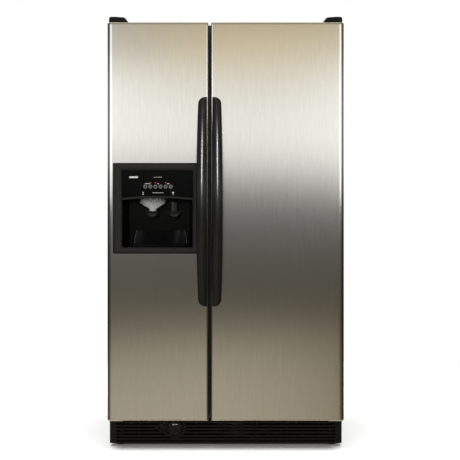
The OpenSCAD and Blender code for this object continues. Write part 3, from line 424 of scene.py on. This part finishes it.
def door_plan(x0, x1, r0, r1, front_y, back_y, inset, columns):
    """Outline of a door from above: side, rounded edge, crowned front, rounded edge, side."""
    edge_y = front_y + DOOR_CROWN
    mid, half = (x0 + x1) / 2, (x1 - x0) / 2
    points = [(x0 + inset, back_y), (x0 + inset, (back_y + edge_y) / 2)]
    points += corner(x0 + r0, edge_y + r0, r0 - inset, 180, 270, 10)
    for x in columns:
        points.append((x, front_y + inset + DOOR_CROWN * ((x - mid) / half) ** 2))
    points += corner(x1 - r1, edge_y + r1, r1 - inset, 270, 360, 10)
    points += [(x1 - inset, (back_y + edge_y) / 2), (x1 - inset, back_y)]
    return points


def door_skin(node, body, r0, r1, hinge_x, hole=None):
    """Bent steel skin with rolled top and bottom edges, and an opening for the dispenser."""
    (x0, front_y, z0), (x1, back_y, z1) = box_mm(node)
    columns = [x0 + r0 + 4 + (x1 - r1 - x0 - r0 - 8) * i / 16 for i in range(17)]
    heights = [z0 + EDGE_ROLL + 4 + (z1 - z0 - 2 * EDGE_ROLL - 8) * i / 24 for i in range(25)]
    if hole:
        hx0, hx1, hz0, hz1 = hole
        columns = sorted([x for x in columns if min(abs(x - hx0), abs(x - hx1)) > 8] + [hx0, hx1])
        heights = sorted([z for z in heights if min(abs(z - hz0), abs(z - hz1)) > 8] + [hz0, hz1])
    rolls = [math.radians(15 * i) for i in range(7)]
    levels = [(z0 + EDGE_ROLL * (1 - math.cos(a)), EDGE_ROLL * (1 - math.sin(a))) for a in rolls]
    levels += [(z, 0.0) for z in heights]
    levels += [(z1 - EDGE_ROLL * (1 - math.cos(a)), EDGE_ROLL * (1 - math.sin(a))) for a in rolls[::-1]]
    rows = [
        [(x, y, z) for x, y in door_plan(x0, x1, r0, r1, front_y, back_y, inset, columns)]
        for z, inset in levels
    ]
    verts, faces = loft(rows, closed=False, caps=False)
    if hole:
        def in_hole(face):
            xs = [verts[i][0] for i in face]
            zs = [verts[i][2] for i in face]
            ys = [verts[i][1] for i in face]
            return (min(xs) >= hx0 - 0.1 and max(xs) <= hx1 + 0.1 and min(zs) >= hz0 - 0.1
                    and max(zs) <= hz1 + 0.1 and max(ys) < front_y + 4)
        faces = [f for f in faces if not in_hole(f)]
    obj = make_piece(f"{node}_sheet", verts, faces, STEEL, body, "stainless", [node])
    hinge_y = front_y + HINGE_DEPTH
    bm = bmesh.new()
    bm.from_mesh(obj.data)
    for z in (z0, z1):
        ring = [e for e in bm.edges if e.is_boundary and all(abs(v.co.z - z * MM) < 1e-6 for v in e.verts)]
        ends = [v for v in bm.verts if abs(v.co.z - z * MM) < 1e-6 and abs(v.co.y - back_y * MM) < 1e-6]
        ring.append(bm.edges.get(ends) or bm.edges.new(ends))
        loop = [bm.verts.new((hinge_x * MM + HINGE_BORE_R * MM * math.cos(a), hinge_y * MM
                              + HINGE_BORE_R * MM * math.sin(a), z * MM))
                for a in [math.radians(15 * i) for i in range(24)]]
        ring += [bm.edges.new((loop[i - 1], loop[i])) for i in range(24)]
        bmesh.ops.triangle_fill(bm, use_beauty=True, use_dissolve=False, edges=ring)
    bmesh.ops.recalc_face_normals(bm, faces=bm.faces)
    bm.to_mesh(obj.data)
    bm.free()
    smooth_but_sharp(obj.data, 40)
    solid = obj.modifiers.new("thickness", "SOLIDIFY")
    solid.thickness = SHEET * MM
    solid.offset = -1
    return obj


def hinge_bushes(node, body, hinge_x):
    """Flanged sleeves in the skin, round the hinge pins."""
    (_, front_y, z0), (_, _, z1) = box_mm(node)
    parts = []
    for z, way in ((z0 + SHEET, 1), (z1 - SHEET, -1)):
        profile = [(BUSH_BORE_R, 0), (BUSH_FLANGE_R, 0), (BUSH_FLANGE_R, 2 * way), (BUSH_R, 2.6 * way),
                   (BUSH_R, BUSH_LENGTH * way), (BUSH_BORE_R, BUSH_LENGTH * way), (BUSH_BORE_R, 0)]
        rows, steps = [], 32
        for r, h in profile:
            rows.append([(hinge_x + r * math.cos(2 * math.pi * i / steps),
                          front_y + HINGE_DEPTH + r * math.sin(2 * math.pi * i / steps), z + h)
                         for i in range(steps)])
        parts.append(loft(rows, caps=False))
    return make_piece(f"{body}_hinge_bushes", *merged(*parts), ZINC, body, "zinc_steel")


HOUSING_LO, HOUSING_HI = box_mm("dispenser_housing")
DISPENSER_HOLE = (HOUSING_LO[0], HOUSING_HI[0], HOUSING_LO[2], HOUSING_HI[2])
# The pieces that the two side boxes light
DOOR_SHEETS = bpy.data.collections.new("door_sheets")
DOOR_SHEETS.objects.link(
    door_skin("freezer_door_skin", "freezer_door", OUTER_EDGE_R, INNER_EDGE_R, -HINGE_X, DISPENSER_HOLE))
DOOR_SHEETS.objects.link(
    door_skin("refrigerator_door_skin", "refrigerator_door", INNER_EDGE_R, OUTER_EDGE_R, HINGE_X))
hinge_bushes("freezer_door_skin", "freezer_door", -HINGE_X)
hinge_bushes("refrigerator_door_skin", "refrigerator_door", HINGE_X)


# ------------------------------------------------------------------ handles

HANDLE_END_W = 34.0
HANDLE_SWELL = 6.0
HANDLE_CORNER = 26.0
HANDLE_END_T = 7.0
GRIP_REACH = 38.0
HANDLE_CROWN = 2.6
HANDLE_ROWS = 72
CROWN_STEPS = [i / 6 for i in range(-5, 6)]


def bow(z, mid, half):
    """1 at the middle height, 0 at half above and below it, along a parabola."""
    return 1 - ((z - mid) / half) ** 2


def handle(node, body, side):
    """Bowed bar: straight beside the gap, swelling and round-cornered on the other side."""
    (x0, front_y, z0), (x1, door_y, z1) = box_mm(node)
    gap_x = x1 if side < 0 else x0
    mid, half = (z0 + z1) / 2, (z1 - z0) / 2
    grip_half = half - 22
    reach = door_y - front_y - HANDLE_END_T

    def row(z, narrow):
        """Cross-section at a height, narrow mm narrower on the outer side."""
        straight = half - HANDLE_CORNER
        swell = HANDLE_SWELL * max(0.0, bow(z, mid, straight))
        width = HANDLE_END_W + swell - narrow
        yf = door_y - HANDLE_END_T - reach * bow(z, mid, half)
        yb = door_y - GRIP_REACH * max(0.0, bow(z, mid, grip_half))
        near, far = (gap_x, gap_x + side * width)
        left, right = min(near, far), max(near, far)
        rf = min(6.5, width / 2 - 0.6, (yb - yf) / 2 - 0.3)
        rb = min(3.0, rf)
        points = corner(left + rb, yb - rb, rb, 90, 180, 4)
        flat = width / 2 - rf
        rise = HANDLE_CROWN * (flat / 14) ** 2
        tip = math.degrees(math.atan(2 * rise / flat))
        points += corner(left + rf, yf + rise + rf, rf, 180, 270 - tip, 7)
        points += [(left + width / 2 + flat * u, yf + rise * u * u) for u in CROWN_STEPS]
        points += corner(right - rf, yf + rise + rf, rf, 270 + tip, 360, 7)
        points += corner(right - rb, yb - rb, rb, 0, 90, 4)
        return [(x, y, z) for x, y in points]

    rows = []
    for i in range(11):
        a = math.radians(9 * i)
        rows.append((z0 + HANDLE_CORNER * (1 - math.cos(a)), HANDLE_CORNER * (1 - math.sin(a))))
    for i in range(1, HANDLE_ROWS):
        rows.append((z0 + HANDLE_CORNER + (z1 - z0 - 2 * HANDLE_CORNER) * i / HANDLE_ROWS, 0.0))
    for i in range(10, -1, -1):
        a = math.radians(9 * i)
        rows.append((z1 - HANDLE_CORNER * (1 - math.cos(a)), HANDLE_CORNER * (1 - math.sin(a))))
    sections = [row(z, narrow) for z, narrow in rows]
    obj = make_piece(f"{node}_bar", *loft(sections), GLOSS_BLACK, body, "black_gloss", [node])
    soften(obj, 1.2)
    return obj


# The pieces that the ceiling lamp lights
HANDLES = bpy.data.collections.new("handles")
HANDLES.objects.link(handle("freezer_door_handle", "freezer_door", -1))
HANDLES.objects.link(handle("refrigerator_door_handle", "refrigerator_door", 1))


# ---------------------------------------------------------------- dispenser

FRAME_LO, FRAME_HI = box_mm("dispenser_bezel")
DOOR_Y = FRAME_HI[1]
CAVITY_X = (HOUSING_LO[0] + 3, HOUSING_HI[0] - 3)
CAVITY_Z = (HOUSING_LO[2] + 3, FRAME_LO[2] + 212)
FRAME_INNER_TOP = HOUSING_HI[2] - 3
BROW_RADIUS = 1112.0

# Across a border, from its outer edge (0) to its inner edge (1): height in mm off the door
FRAME_PROFILE = [
    (0.0, 0.0), (0.0, 2.2), (0.035, 3.6), (0.10, 5.0), (0.20, 6.4), (0.34, 7.5), (0.50, 8.0),
    (0.66, 7.7), (0.80, 6.7), (0.91, 5.0), (0.975, 3.0), (1.0, 1.4), (1.0, 0.0),
]


def dispenser_frame():
    """Mitred picture frame with a crowned section."""
    borders = (CAVITY_X[0] - FRAME_LO[0], FRAME_HI[0] - CAVITY_X[1],
               CAVITY_Z[0] - FRAME_LO[2], FRAME_HI[2] - FRAME_INNER_TOP)
    rows = []
    for share, height in FRAME_PROFILE:
        left, right, foot, top = (share * b for b in borders)
        radius = 4.0 + 2.0 * share
        ring = rounded_rect(FRAME_LO[0] + left, FRAME_HI[0] - right,
                            FRAME_LO[2] + foot, FRAME_HI[2] - top, radius)
        rows.append([(x, DOOR_Y - height, z) for x, z in ring])
    rows.append(rows[0])
    return loft(rows, caps=False)


def brow():
    """Arched ridge between the panel and the cavity."""
    mid_x = (CAVITY_X[0] + CAVITY_X[1]) / 2
    rows = []
    for i in range(33):
        x = CAVITY_X[0] - 1 + (CAVITY_X[1] - CAVITY_X[0] + 2) * i / 32
        sag = BROW_RADIUS - math.sqrt(BROW_RADIUS ** 2 - (x - mid_x) ** 2)
        low, high = FRAME_LO[2] + 211 - sag, FRAME_LO[2] + 219.5 - sag
        section = rounded_rect(-6.0, 0.0, low, high, 2.4, 4)
        rows.append([(x, DOOR_Y + y, z) for y, z in section])
    return loft(rows)


def plate(points, y0, y1):
    """Flat plate from an (x, z) outline, between two depths."""
    return loft([[(x, y1, z) for x, z in points], [(x, y0, z) for x, z in points]])


make_piece("dispenser_frame", *merged(dispenser_frame(), brow()), FRAME_BLACK, "freezer_door",
           "black_textured", ["dispenser_bezel"])

PANEL_LO, PANEL_HI = box_mm("dispenser_panel")
PRINT_T = 0.12


def printed_marks():
    """Plain printed marks round the buttons: dashes, pips and two pointers, no lettering."""
    y = PANEL_LO[1]
    parts = []

    def dash(x, z, w, h):
        r = min(w, h) * 0.45
        parts.append(plate(rounded_rect(x - w / 2, x + w / 2, z - h / 2, z + h / 2, r, 3), y - PRINT_T, y))

    centres = [sum(c) / 2 for c in
               [(box_mm(f"dispenser_button_{i}")[0][0], box_mm(f"dispenser_button_{i}")[1][0])
                for i in range(1, 7)]]
    button_z = sum((box_mm("dispenser_button_1")[0][2], box_mm("dispenser_button_1")[1][2])) / 2
    dash(PANEL_LO[0] + 42, button_z + 36, 34, 7)
    for k in range(5):
        dash(-270 + k * 6.4, button_z + 36, 4.6, 1.8)
    for k in range(6):
        dash(-275 + k * 7.2, button_z - 23, 5.4, 2.0)
    for x in (centres[0] + 4, centres[1] - 6):
        dash(x, button_z + 11.5, 9, 2.2)
    dash((centres[2] + centres[3]) / 2, button_z + 11.5, 5, 2.4)
    dash((centres[4] + centres[5]) / 2, button_z + 11.5, 9, 2.2)
    for x in (centres[0] - 8, centres[5] + 9):
        tip = [(x - 2.6, button_z - 27), (x, button_z - 33), (x + 2.6, button_z - 27)]
        parts.append(plate(tip, y - PRINT_T, y))
        dash(x, button_z - 22.5, 8 if x > centres[3] else 4.5, 4.2)
    return merged(*parts)


make_piece("panel_print", *printed_marks(), PRINT_WHITE, "freezer_door", "button_plastic")


def push_button(i):
    """Domed button with a printed ring."""
    node = f"dispenser_button_{i}"
    (x0, y0, z0), (x1, y1, z1) = box_mm(node)
    cx, cz = (x0 + x1) / 2, (z0 + z1) / 2
    r = 8.2
    profile = [(0.01, y0 + 0.5), (3.0, y0 + 0.25), (6.2, y0), (7.3, y0 + 0.15), (7.9, y0 + 0.6),
               (r, y0 + 1.4), (r, y1 - 2), (9.3, y1 - 2), (9.3, y1), (0.01, y1)]
    make_piece(f"push_button_{i}", *lathe(profile, (cx, 0, cz)), BUTTON_GREY, node,
               "button_plastic", [node])
    ring = [(4.9, y0 + PRINT_T), (4.9, y0), (6.4, y0), (6.4, y0 + PRINT_T)]
    rows = [[(cx + ring_r * math.cos(2 * math.pi * k / 40), y, cz + ring_r * math.sin(2 * math.pi * k / 40))
             for k in range(40)] for ring_r, y in ring + ring[:1]]
    make_piece(f"button_ring_{i}", *loft(rows, caps=False), PRINT_GREY, node, "button_plastic")


for number in range(1, 7):
    push_button(number)


OVAL = 0.72
FUNNEL_WALL = 2.2
FUNNEL_Y, CHUTE_MOUTH_Y = -312.0, -273.0
CHUTE_LENGTH = 163
CHUTE_R = (28.0, 25.5)
CHUTE_LEAN_COSINE = 0.972
# Radius at each height of the funnel, from the neck up
FUNNEL_OUTLINE = [
    (12.8, 0), (13.2, 1.0), (13.6, 7.5), (15.6, 10.0), (26, 16), (38.5, 24.0), (46.5, 29.0),
    (49.0, 31.0), (49.5, 33), (49.5, 48.5),
]


def funnel():
    """Clear oval funnel with upright flutes, and the leaning chute tube above it."""
    lo, hi = box_mm("ice_funnel")
    cx = (lo[0] + hi[0]) / 2
    cy = FUNNEL_Y
    neck_z = lo[2]
    steps = 72

    def ring(r, z, flute):
        points = []
        for i in range(steps):
            a = 2 * math.pi * i / steps
            fluted = r - flute * (0.5 + 0.5 * math.cos(12 * a))
            points.append((cx + fluted * math.cos(a), cy + OVAL * fluted * math.sin(a), z))
        return points

    rows = [ring(r, neck_z + h, 0.9 if h > 9 else 0.3) for r, h in FUNNEL_OUTLINE]
    rows += [ring(r - FUNNEL_WALL, neck_z + h + (0.3 if h < 40 else 0), 0.3) for r, h in FUNNEL_OUTLINE[::-1]]
    rows.append(rows[0])
    foot_z, mouth_z = hi[2] - CHUTE_LENGTH, hi[2]
    tube = []
    for r, ends in zip(CHUTE_R, ((foot_z, mouth_z), (mouth_z, foot_z))):
        for z in ends:
            y = cy + (CHUTE_MOUTH_Y - cy) * (z - foot_z) / (mouth_z - foot_z)
            tube.append([(cx + r * math.cos(a), y + r / CHUTE_LEAN_COSINE * math.sin(a), z)
                         for a in [2 * math.pi * i / 48 for i in range(48)]])
    tube.append(tube[0])
    return merged(loft(rows, caps=False), loft(tube, caps=False))


# The pieces in the cavity and the filter cap, which a lamp of their own lights
DISPENSER_PARTS = bpy.data.collections.new("dispenser_parts")
DISPENSER_PARTS.objects.link(
    make_piece("clear_funnel", *funnel(), FUNNEL_CLEAR, "freezer_door", "clear_plastic", ["ice_funnel"]))


def paddle(node, pad_w):
    """Lever that a glass pushes: an arm with ribs and a scooped, round-bottomed pad."""
    (x0, y0, z0), (x1, y1, z1) = box_mm(node)
    cx = (x0 + x1) / 2
    pad_h = 30.0
    r = pad_w / 2
    outline = [(cx - r + 2, z0 + pad_h), (cx - r, z0 + pad_h - 2)]
    outline += [(cx + r * math.cos(math.radians(a)), z0 + r * 0.98 + r * 0.98 * math.sin(math.radians(a)))
                for a in range(188, 353, 6)]
    outline += [(cx + r, z0 + pad_h - 2), (cx + r - 2, z0 + pad_h)]

    def shrink(t):
        mz = z0 + pad_h / 2
        return [(cx + (x - cx) * (1 - t / r), mz + (z - mz) * (1 - t / (pad_h / 2))) for x, z in outline]

    back_y, front_y = y0 + 20, y0
    pad = loft([[(x, back_y, z) for x, z in shrink(1.2)], [(x, back_y - 1, z) for x, z in outline],
                [(x, front_y + 2.5, z) for x, z in outline], [(x, front_y + 0.7, z) for x, z in shrink(0.7)],
                [(x, front_y, z) for x, z in shrink(2.0)], [(x, front_y + 0.3, z) for x, z in shrink(3.2)],
                [(x, front_y + 3.2, z) for x, z in shrink(6.0)],
                [(x, front_y + 4.4, z) for x, z in shrink(11.0)]])
    arm_y = (y1 - 8, y1)
    arm = loft([[(x, y, z) for x, y in rounded_rect(cx - 12, cx + 12, *arm_y, 2.4)]
                for z in (z0 + pad_h - 8, z1 - 1)])
    ribs = [loft([[(x, y, z) for x, y in rounded_rect(cx + d - 1.2, cx + d + 1.2, arm_y[0] - 1.6,
                                                      arm_y[0] + 1, 0.6, 2)]
                  for z in (z0 + pad_h - 4, z1 - 6)]) for d in (-9, 9)]
    axle = lathe([(0.01, cx - 17), (3, cx - 17), (3, cx + 17), (0.01, cx + 17)],
                 (0, (y1 + y1 - 8) / 2, z1 - 4), "x", 24)
    return make_piece(f"{node}_paddle", *merged(pad, arm, axle, *ribs), PADDLE_BLACK, node,
                      "black_textured", [node])


DISPENSER_PARTS.objects.link(paddle("ice_lever", 50))
DISPENSER_PARTS.objects.link(paddle("water_lever", 54))


def plate_z(points, z0, z1):
    """Flat plate from an (x, y) outline, between two heights."""
    return loft([[(x, y, z0) for x, y in points], [(x, y, z1) for x, y in points]])


def catch_tray():
    """Tray with slots, a raised lip, and a curved splash plate that leans back."""
    (x0, y0, z0), (x1, y1, z1) = box_mm("drip_tray")
    top = z0 + 14
    parts = [plate_z(rounded_rect(x0, x1, y0, y1, 5), z0, z0 + 3)]
    rim_out, rim_in = rounded_rect(x0, x1, y0, y1, 5), rounded_rect(x0 + 5, x1 - 5, y0 + 5, y1 - 5, 4)
    parts.append(loft([[(x, y, z0 + 3) for x, y in rim_out], [(x, y, top - 1) for x, y in rim_out],
                       [(x, y, top) for x, y in rounded_rect(x0 + 1, x1 - 1, y0 + 1, y1 - 1, 4.5)],
                       [(x, y, top) for x, y in rim_in], [(x, y, z0 + 3) for x, y in rim_in],
                       [(x, y, z0 + 3) for x, y in rim_out]], caps=False))
    slots = 13
    pitch = (x1 - x0 - 10) / slots
    for i in range(slots + 1):
        x = x0 + 5 + i * pitch
        bar = rounded_rect(max(x - 2.4, x0 + 4), min(x + 2.4, x1 - 4), z0 + 8, z0 + 12, 1.0, 2)
        parts.append(plate(bar, y0 + 4, y1 - 8))
    rows = []
    for i in range(25):
        u = -1 + i / 12
        edge = u * u
        half_low, half_high = (x1 - x0) / 2 - 1, (x1 - x0) / 2 - 9
        cx = (x0 + x1) / 2
        lift = 61 + 7 * edge
        section = []
        for share in (0.0, 0.5, 1.0):
            half = half_low + (half_high - half_low) * share
            depth = y1 - 1 - 12 * edge * edge * (1 - 0.5 * share)
            section.append((cx + u * half, depth, z0 + 4 + (lift - 4) * share))
        front = [(x, y - 3.2, z) for x, y, z in section[::-1]]
        rows.append(section + front)
    parts.append(loft(rows))
    return merged(*parts)


def tray_rims():
    """Rounded rims up both sides of the splash plate."""
    (x0, y0, z0), (x1, y1, z1) = box_mm("drip_tray")
    mid_x, low, high = (x0 + x1) / 2, (x1 - x0) / 2 - 3.5, (x1 - x0) / 2 - 11
    parts = []
    for side in (-1, 1):
        rows = []
        for i in range(13):
            share = i / 12
            x = mid_x + side * (low + (high - low) * share + 2.5 * math.sin(math.pi * share))
            y = y1 - 17 + 6 * share
            z = z0 + 6 + 59 * share
            rows.append([(x + 1.3 * math.cos(math.radians(a)), y + 1.3 * math.sin(math.radians(a)), z)
                         for a in range(0, 360, 30)])
        parts.append(loft(rows))
    return merged(*parts)


tray = make_piece("catch_tray", *catch_tray(), TRAY_BLACK, "freezer_door", "black_textured",
                  ["drip_tray"])
soften(tray, 0.9)
DISPENSER_PARTS.objects.link(tray)
# The rims' lighter grey is a painted glint; the dispenser lamp adds real glints as well.
DISPENSER_PARTS.objects.link(
    make_piece("tray_rims", *tray_rims(), TRAY_RIM_PAINTED_GLINT, "freezer_door", "black_textured"))


# --------------------------------------------------------------------- base

FILTER_GAP = 0.3


def domed_cap():
    """Domed cap of the water filter, with a raised rim and two pips, a hair in front of the filter."""
    (x0, y0, z0), (x1, y1, z1) = box_mm("filter_cap")
    cx, cz, r = (x0 + x1) / 2, (z0 + z1) / 2, (x1 - x0) / 2
    face_y = y0
    back_y = y1 - FILTER_GAP
    profile = [(0.01, face_y + 1.2), (8, face_y + 1.0), (16, face_y + 0.5), (21, face_y),
               (23.5, face_y + 0.6), (25.5, face_y + 2.4), (27.0, face_y + 3.0), (28.6, face_y + 2.6),
               (29.6, face_y + 3.6), (r, face_y + 5.4), (r, face_y + 9), (r - 1.5, back_y), (0.01, back_y)]
    cap = make_piece("domed_cap", *lathe(profile, (cx, 0, cz), steps=64), GLOSS_BLACK, "filter_cap",
                     "grille_plastic", ["filter_cap"])
    pips = [plate(rounded_rect(cx + d - 4, cx + d + 4, cz + 12, cz + 15, 1.2, 3), face_y, face_y + 0.8)
            for d in (-6, 6)]
    make_piece("cap_pips", *merged(*pips), PRINT_WHITE, "filter_cap", "button_plastic")
    return cap


DISPENSER_PARTS.objects.link(domed_cap())


# -------------------------------------------------------------------- stage

def floor():
    """Plain pale floor, left out of the reflections, where the room shows below the horizon too."""
    radius, steps = 2.4, 64
    mesh = bpy.data.meshes.new("floor")
    ring = [(radius * math.cos(2 * math.pi * i / steps), radius * math.sin(2 * math.pi * i / steps), 0)
            for i in range(steps)]
    mesh.from_pydata(ring, [], [tuple(range(steps))])
    obj = bpy.data.objects.new("floor", mesh)
    bpy.context.scene.collection.objects.link(obj)
    mat = new_material("floor_pale", (0.88, 0.88, 0.88), 0.9,
                       Emission_Color=(1, 1, 1, 1), Emission_Strength=0.11)
    mat.node_tree.nodes["Principled BSDF"].inputs["Specular IOR Level"].default_value = 0.0
    obj.visible_glossy = False
    mesh.materials.append(mat)


# The room in front, as the doors mirror it: a floor, a shaded stretch, a bright window and the
# wall and ceiling over it. Heights are in degrees of elevation.
FLOOR_NEAR = -14.0
SHADE_MIDDLE, SHADE_TOP = -3.2, -0.4
WINDOW_MIDDLE, WINDOW_TOP = 5.6, 8.2
LINTEL = 10.2
WALL = 14.0
CEILING = 28.0
WALL_LEVEL, CEILING_LEVEL = 0.42, 0.6
WHITE, DAYLIGHT, CREAM = (1.0, 1.0, 0.98), (1.0, 1.02, 1.03), (1.0, 0.96, 0.82)
WARM, AMBER, OAK = (1.0, 0.92, 0.72), (1.0, 0.79, 0.44), (1.0, 0.82, 0.54)


def tinted(tint, level):
    return tuple(level * part for part in tint)


def room_column(floor, floor_tint, floor_edge, shade, sill, window, window_top, top_tint, lintel,
                lintel_tint):
    """One column of the room, from the floor up: (degrees, colour) where the light changes."""
    return [
        (FLOOR_NEAR, tinted(floor_tint, floor)),
        (floor_edge - 3.5, tinted(floor_tint, floor)),
        (floor_edge - 1.2, tinted(floor_tint, 0.82 * floor)),
        (floor_edge + 0.8, tinted(floor_tint, shade + 0.08 * floor)),
        (SHADE_MIDDLE, tinted(WARM, shade)),
        (SHADE_TOP, tinted(WHITE, 1.3 * shade)),
        (sill - 1.8, tinted(WHITE, 1.8 * shade)),
        (sill - 0.9, tinted(WHITE, 0.2 * window)),
        (sill + 1.1, tinted(DAYLIGHT, 0.9 * window)),
        (WINDOW_MIDDLE, tinted(DAYLIGHT, window)),
        (WINDOW_TOP, tinted(top_tint, window_top)),
        (LINTEL, tinted(lintel_tint, lintel)),
        (WALL, tinted(lintel_tint, WALL_LEVEL)),
        (CEILING, tinted(WHITE, CEILING_LEVEL)),
    ]


ROOM_LEFT = room_column(floor=0.56, floor_tint=WARM, floor_edge=-6.2, shade=0.125, sill=3.0, window=1.5,
                        window_top=1.46, top_tint=DAYLIGHT, lintel=0.58, lintel_tint=WHITE)
ROOM_MIDDLE = room_column(floor=0.65, floor_tint=WARM, floor_edge=-5.5, shade=0.105, sill=3.15, window=1.34,
                          window_top=1.05, top_tint=CREAM, lintel=1.1, lintel_tint=AMBER)
ROOM_RIGHT = room_column(floor=0.26, floor_tint=OAK, floor_edge=-6.0, shade=0.105, sill=2.5, window=1.56,
                         window_top=1.4, top_tint=DAYLIGHT, lintel=0.74, lintel_tint=WARM)

# Share of that light left round to the sides and the back, by the direction's Y
ROOM_DEPTH = [(-0.96, 1.0), (-0.6, 0.45), (-0.15, 0.14), (0.4, 0.14), (0.7, 0.6)]


def room():
    """White behind the object, and a soft room by direction for everything that reflects it."""
    world = bpy.data.worlds.new("room")
    bpy.context.scene.world = world
    world.use_nodes = True
    nodes, links = world.node_tree.nodes, world.node_tree.links
    nodes.clear()
    coord = nodes.new("ShaderNodeTexCoord")
    split = nodes.new("ShaderNodeSeparateXYZ")
    links.new(coord.outputs["Generated"], split.inputs["Vector"])

    def spread(output, low, high):
        node = nodes.new("ShaderNodeMapRange")
        node.inputs["From Min"].default_value = low
        node.inputs["From Max"].default_value = high
        links.new(output, node.inputs["Value"])
        return node.outputs["Result"]

    def ramp(table):
        low, high = (math.sin(math.radians(table[i][0])) for i in (0, -1))
        node = nodes.new("ShaderNodeValToRGB")
        stops = node.color_ramp.elements
        while len(stops) < len(table):
            stops.new(0.5)
        for stop, (degrees, color) in zip(stops, table):
            stop.position = (math.sin(math.radians(degrees)) - low) / (high - low)
            stop.color = (*color, 1)
        links.new(spread(split.outputs["Z"], low, high), node.inputs["Fac"])
        return node.outputs["Color"]

    def blend(factor, first, second):
        node = nodes.new("ShaderNodeMix")
        node.data_type = "RGBA"
        links.new(factor, node.inputs[0])
        links.new(first, node.inputs[6])
        links.new(second, node.inputs[7])
        return node.outputs[2]

    left_to_middle = blend(spread(split.outputs["X"], -0.13, -0.01), ramp(ROOM_LEFT), ramp(ROOM_MIDDLE))
    color = blend(spread(split.outputs["X"], 0.05, 0.14), left_to_middle, ramp(ROOM_RIGHT))
    dim = nodes.new("ShaderNodeValToRGB")
    while len(dim.color_ramp.elements) < len(ROOM_DEPTH):
        dim.color_ramp.elements.new(0.5)
    for stop, (depth, level) in zip(dim.color_ramp.elements, ROOM_DEPTH):
        stop.position = (depth + 1) / 2
        stop.color = (level, level, level, 1)
    links.new(spread(split.outputs["Y"], -1, 1), dim.inputs["Fac"])
    sides = nodes.new("ShaderNodeMix")
    sides.data_type = "RGBA"
    sides.blend_type = "MULTIPLY"
    sides.inputs[0].default_value = 1.0
    links.new(color, sides.inputs[6])
    links.new(dim.outputs["Color"], sides.inputs[7])
    color = sides.outputs[2]
    shade = nodes.new("ShaderNodeBackground")
    white = nodes.new("ShaderNodeBackground")
    white.inputs["Color"].default_value = (1, 1, 1, 1)
    path = nodes.new("ShaderNodeLightPath")
    mix = nodes.new("ShaderNodeMixShader")
    out = nodes.new("ShaderNodeOutputWorld")
    links.new(color, shade.inputs["Color"])
    links.new(path.outputs["Is Camera Ray"], mix.inputs["Fac"])
    links.new(shade.outputs["Background"], mix.inputs[1])
    links.new(white.outputs["Background"], mix.inputs[2])
    links.new(mix.outputs["Shader"], out.inputs["Surface"])


def softbox(name, place, target, size, watts):
    """Rectangular lamp that faces a target, in metres and watts."""
    data = bpy.data.lights.new(name, "AREA")
    data.shape = "RECTANGLE"
    data.size, data.size_y = size
    data.energy = watts
    obj = bpy.data.objects.new(name, data)
    obj.location = place
    obj.rotation_euler = (Vector(target) - Vector(place)).to_track_quat("-Z", "Y").to_euler()
    bpy.context.scene.collection.objects.link(obj)
    return obj


def camera():
    """Level camera straight in front, a little right of the middle."""
    data = bpy.data.cameras.new("camera")
    obj = bpy.data.objects.new("camera", data)
    bpy.context.scene.collection.objects.link(obj)
    bpy.context.scene.camera = obj
    data.lens = 79.7
    data.sensor_width = 36
    obj.location = (0.0165, -4.235, 0.8401)
    obj.rotation_euler = (math.radians(90), 0, 0)


camera()
floor()
room()
softbox("overhead", (0, -0.4, 4.2), (0, 0, 0), (4.5, 4.5), 400).visible_glossy = False
ceiling_lamp = softbox("ceiling_lamp", (0, -4.9, 2.3), (0, -0.4, 1.1), (0.35, 1.5), 190)
ceiling_lamp.light_linking.receiver_collection = HANDLES
for side_x in (-2.4, 2.4):
    box = softbox("side_box", (side_x, -3.7, 1.8), (0, -0.3, 1.1), (2.2, 1.5), 13)
    box.light_linking.receiver_collection = DOOR_SHEETS
dispenser_lamp = softbox("dispenser_lamp", (-1.1, -3.9, 1.25), (-0.27, -0.3, 0.9), (0.4, 0.4), 6)
dispenser_lamp.light_linking.receiver_collection = DISPENSER_PARTS
bpy.context.scene.view_settings.view_transform = "Standard"
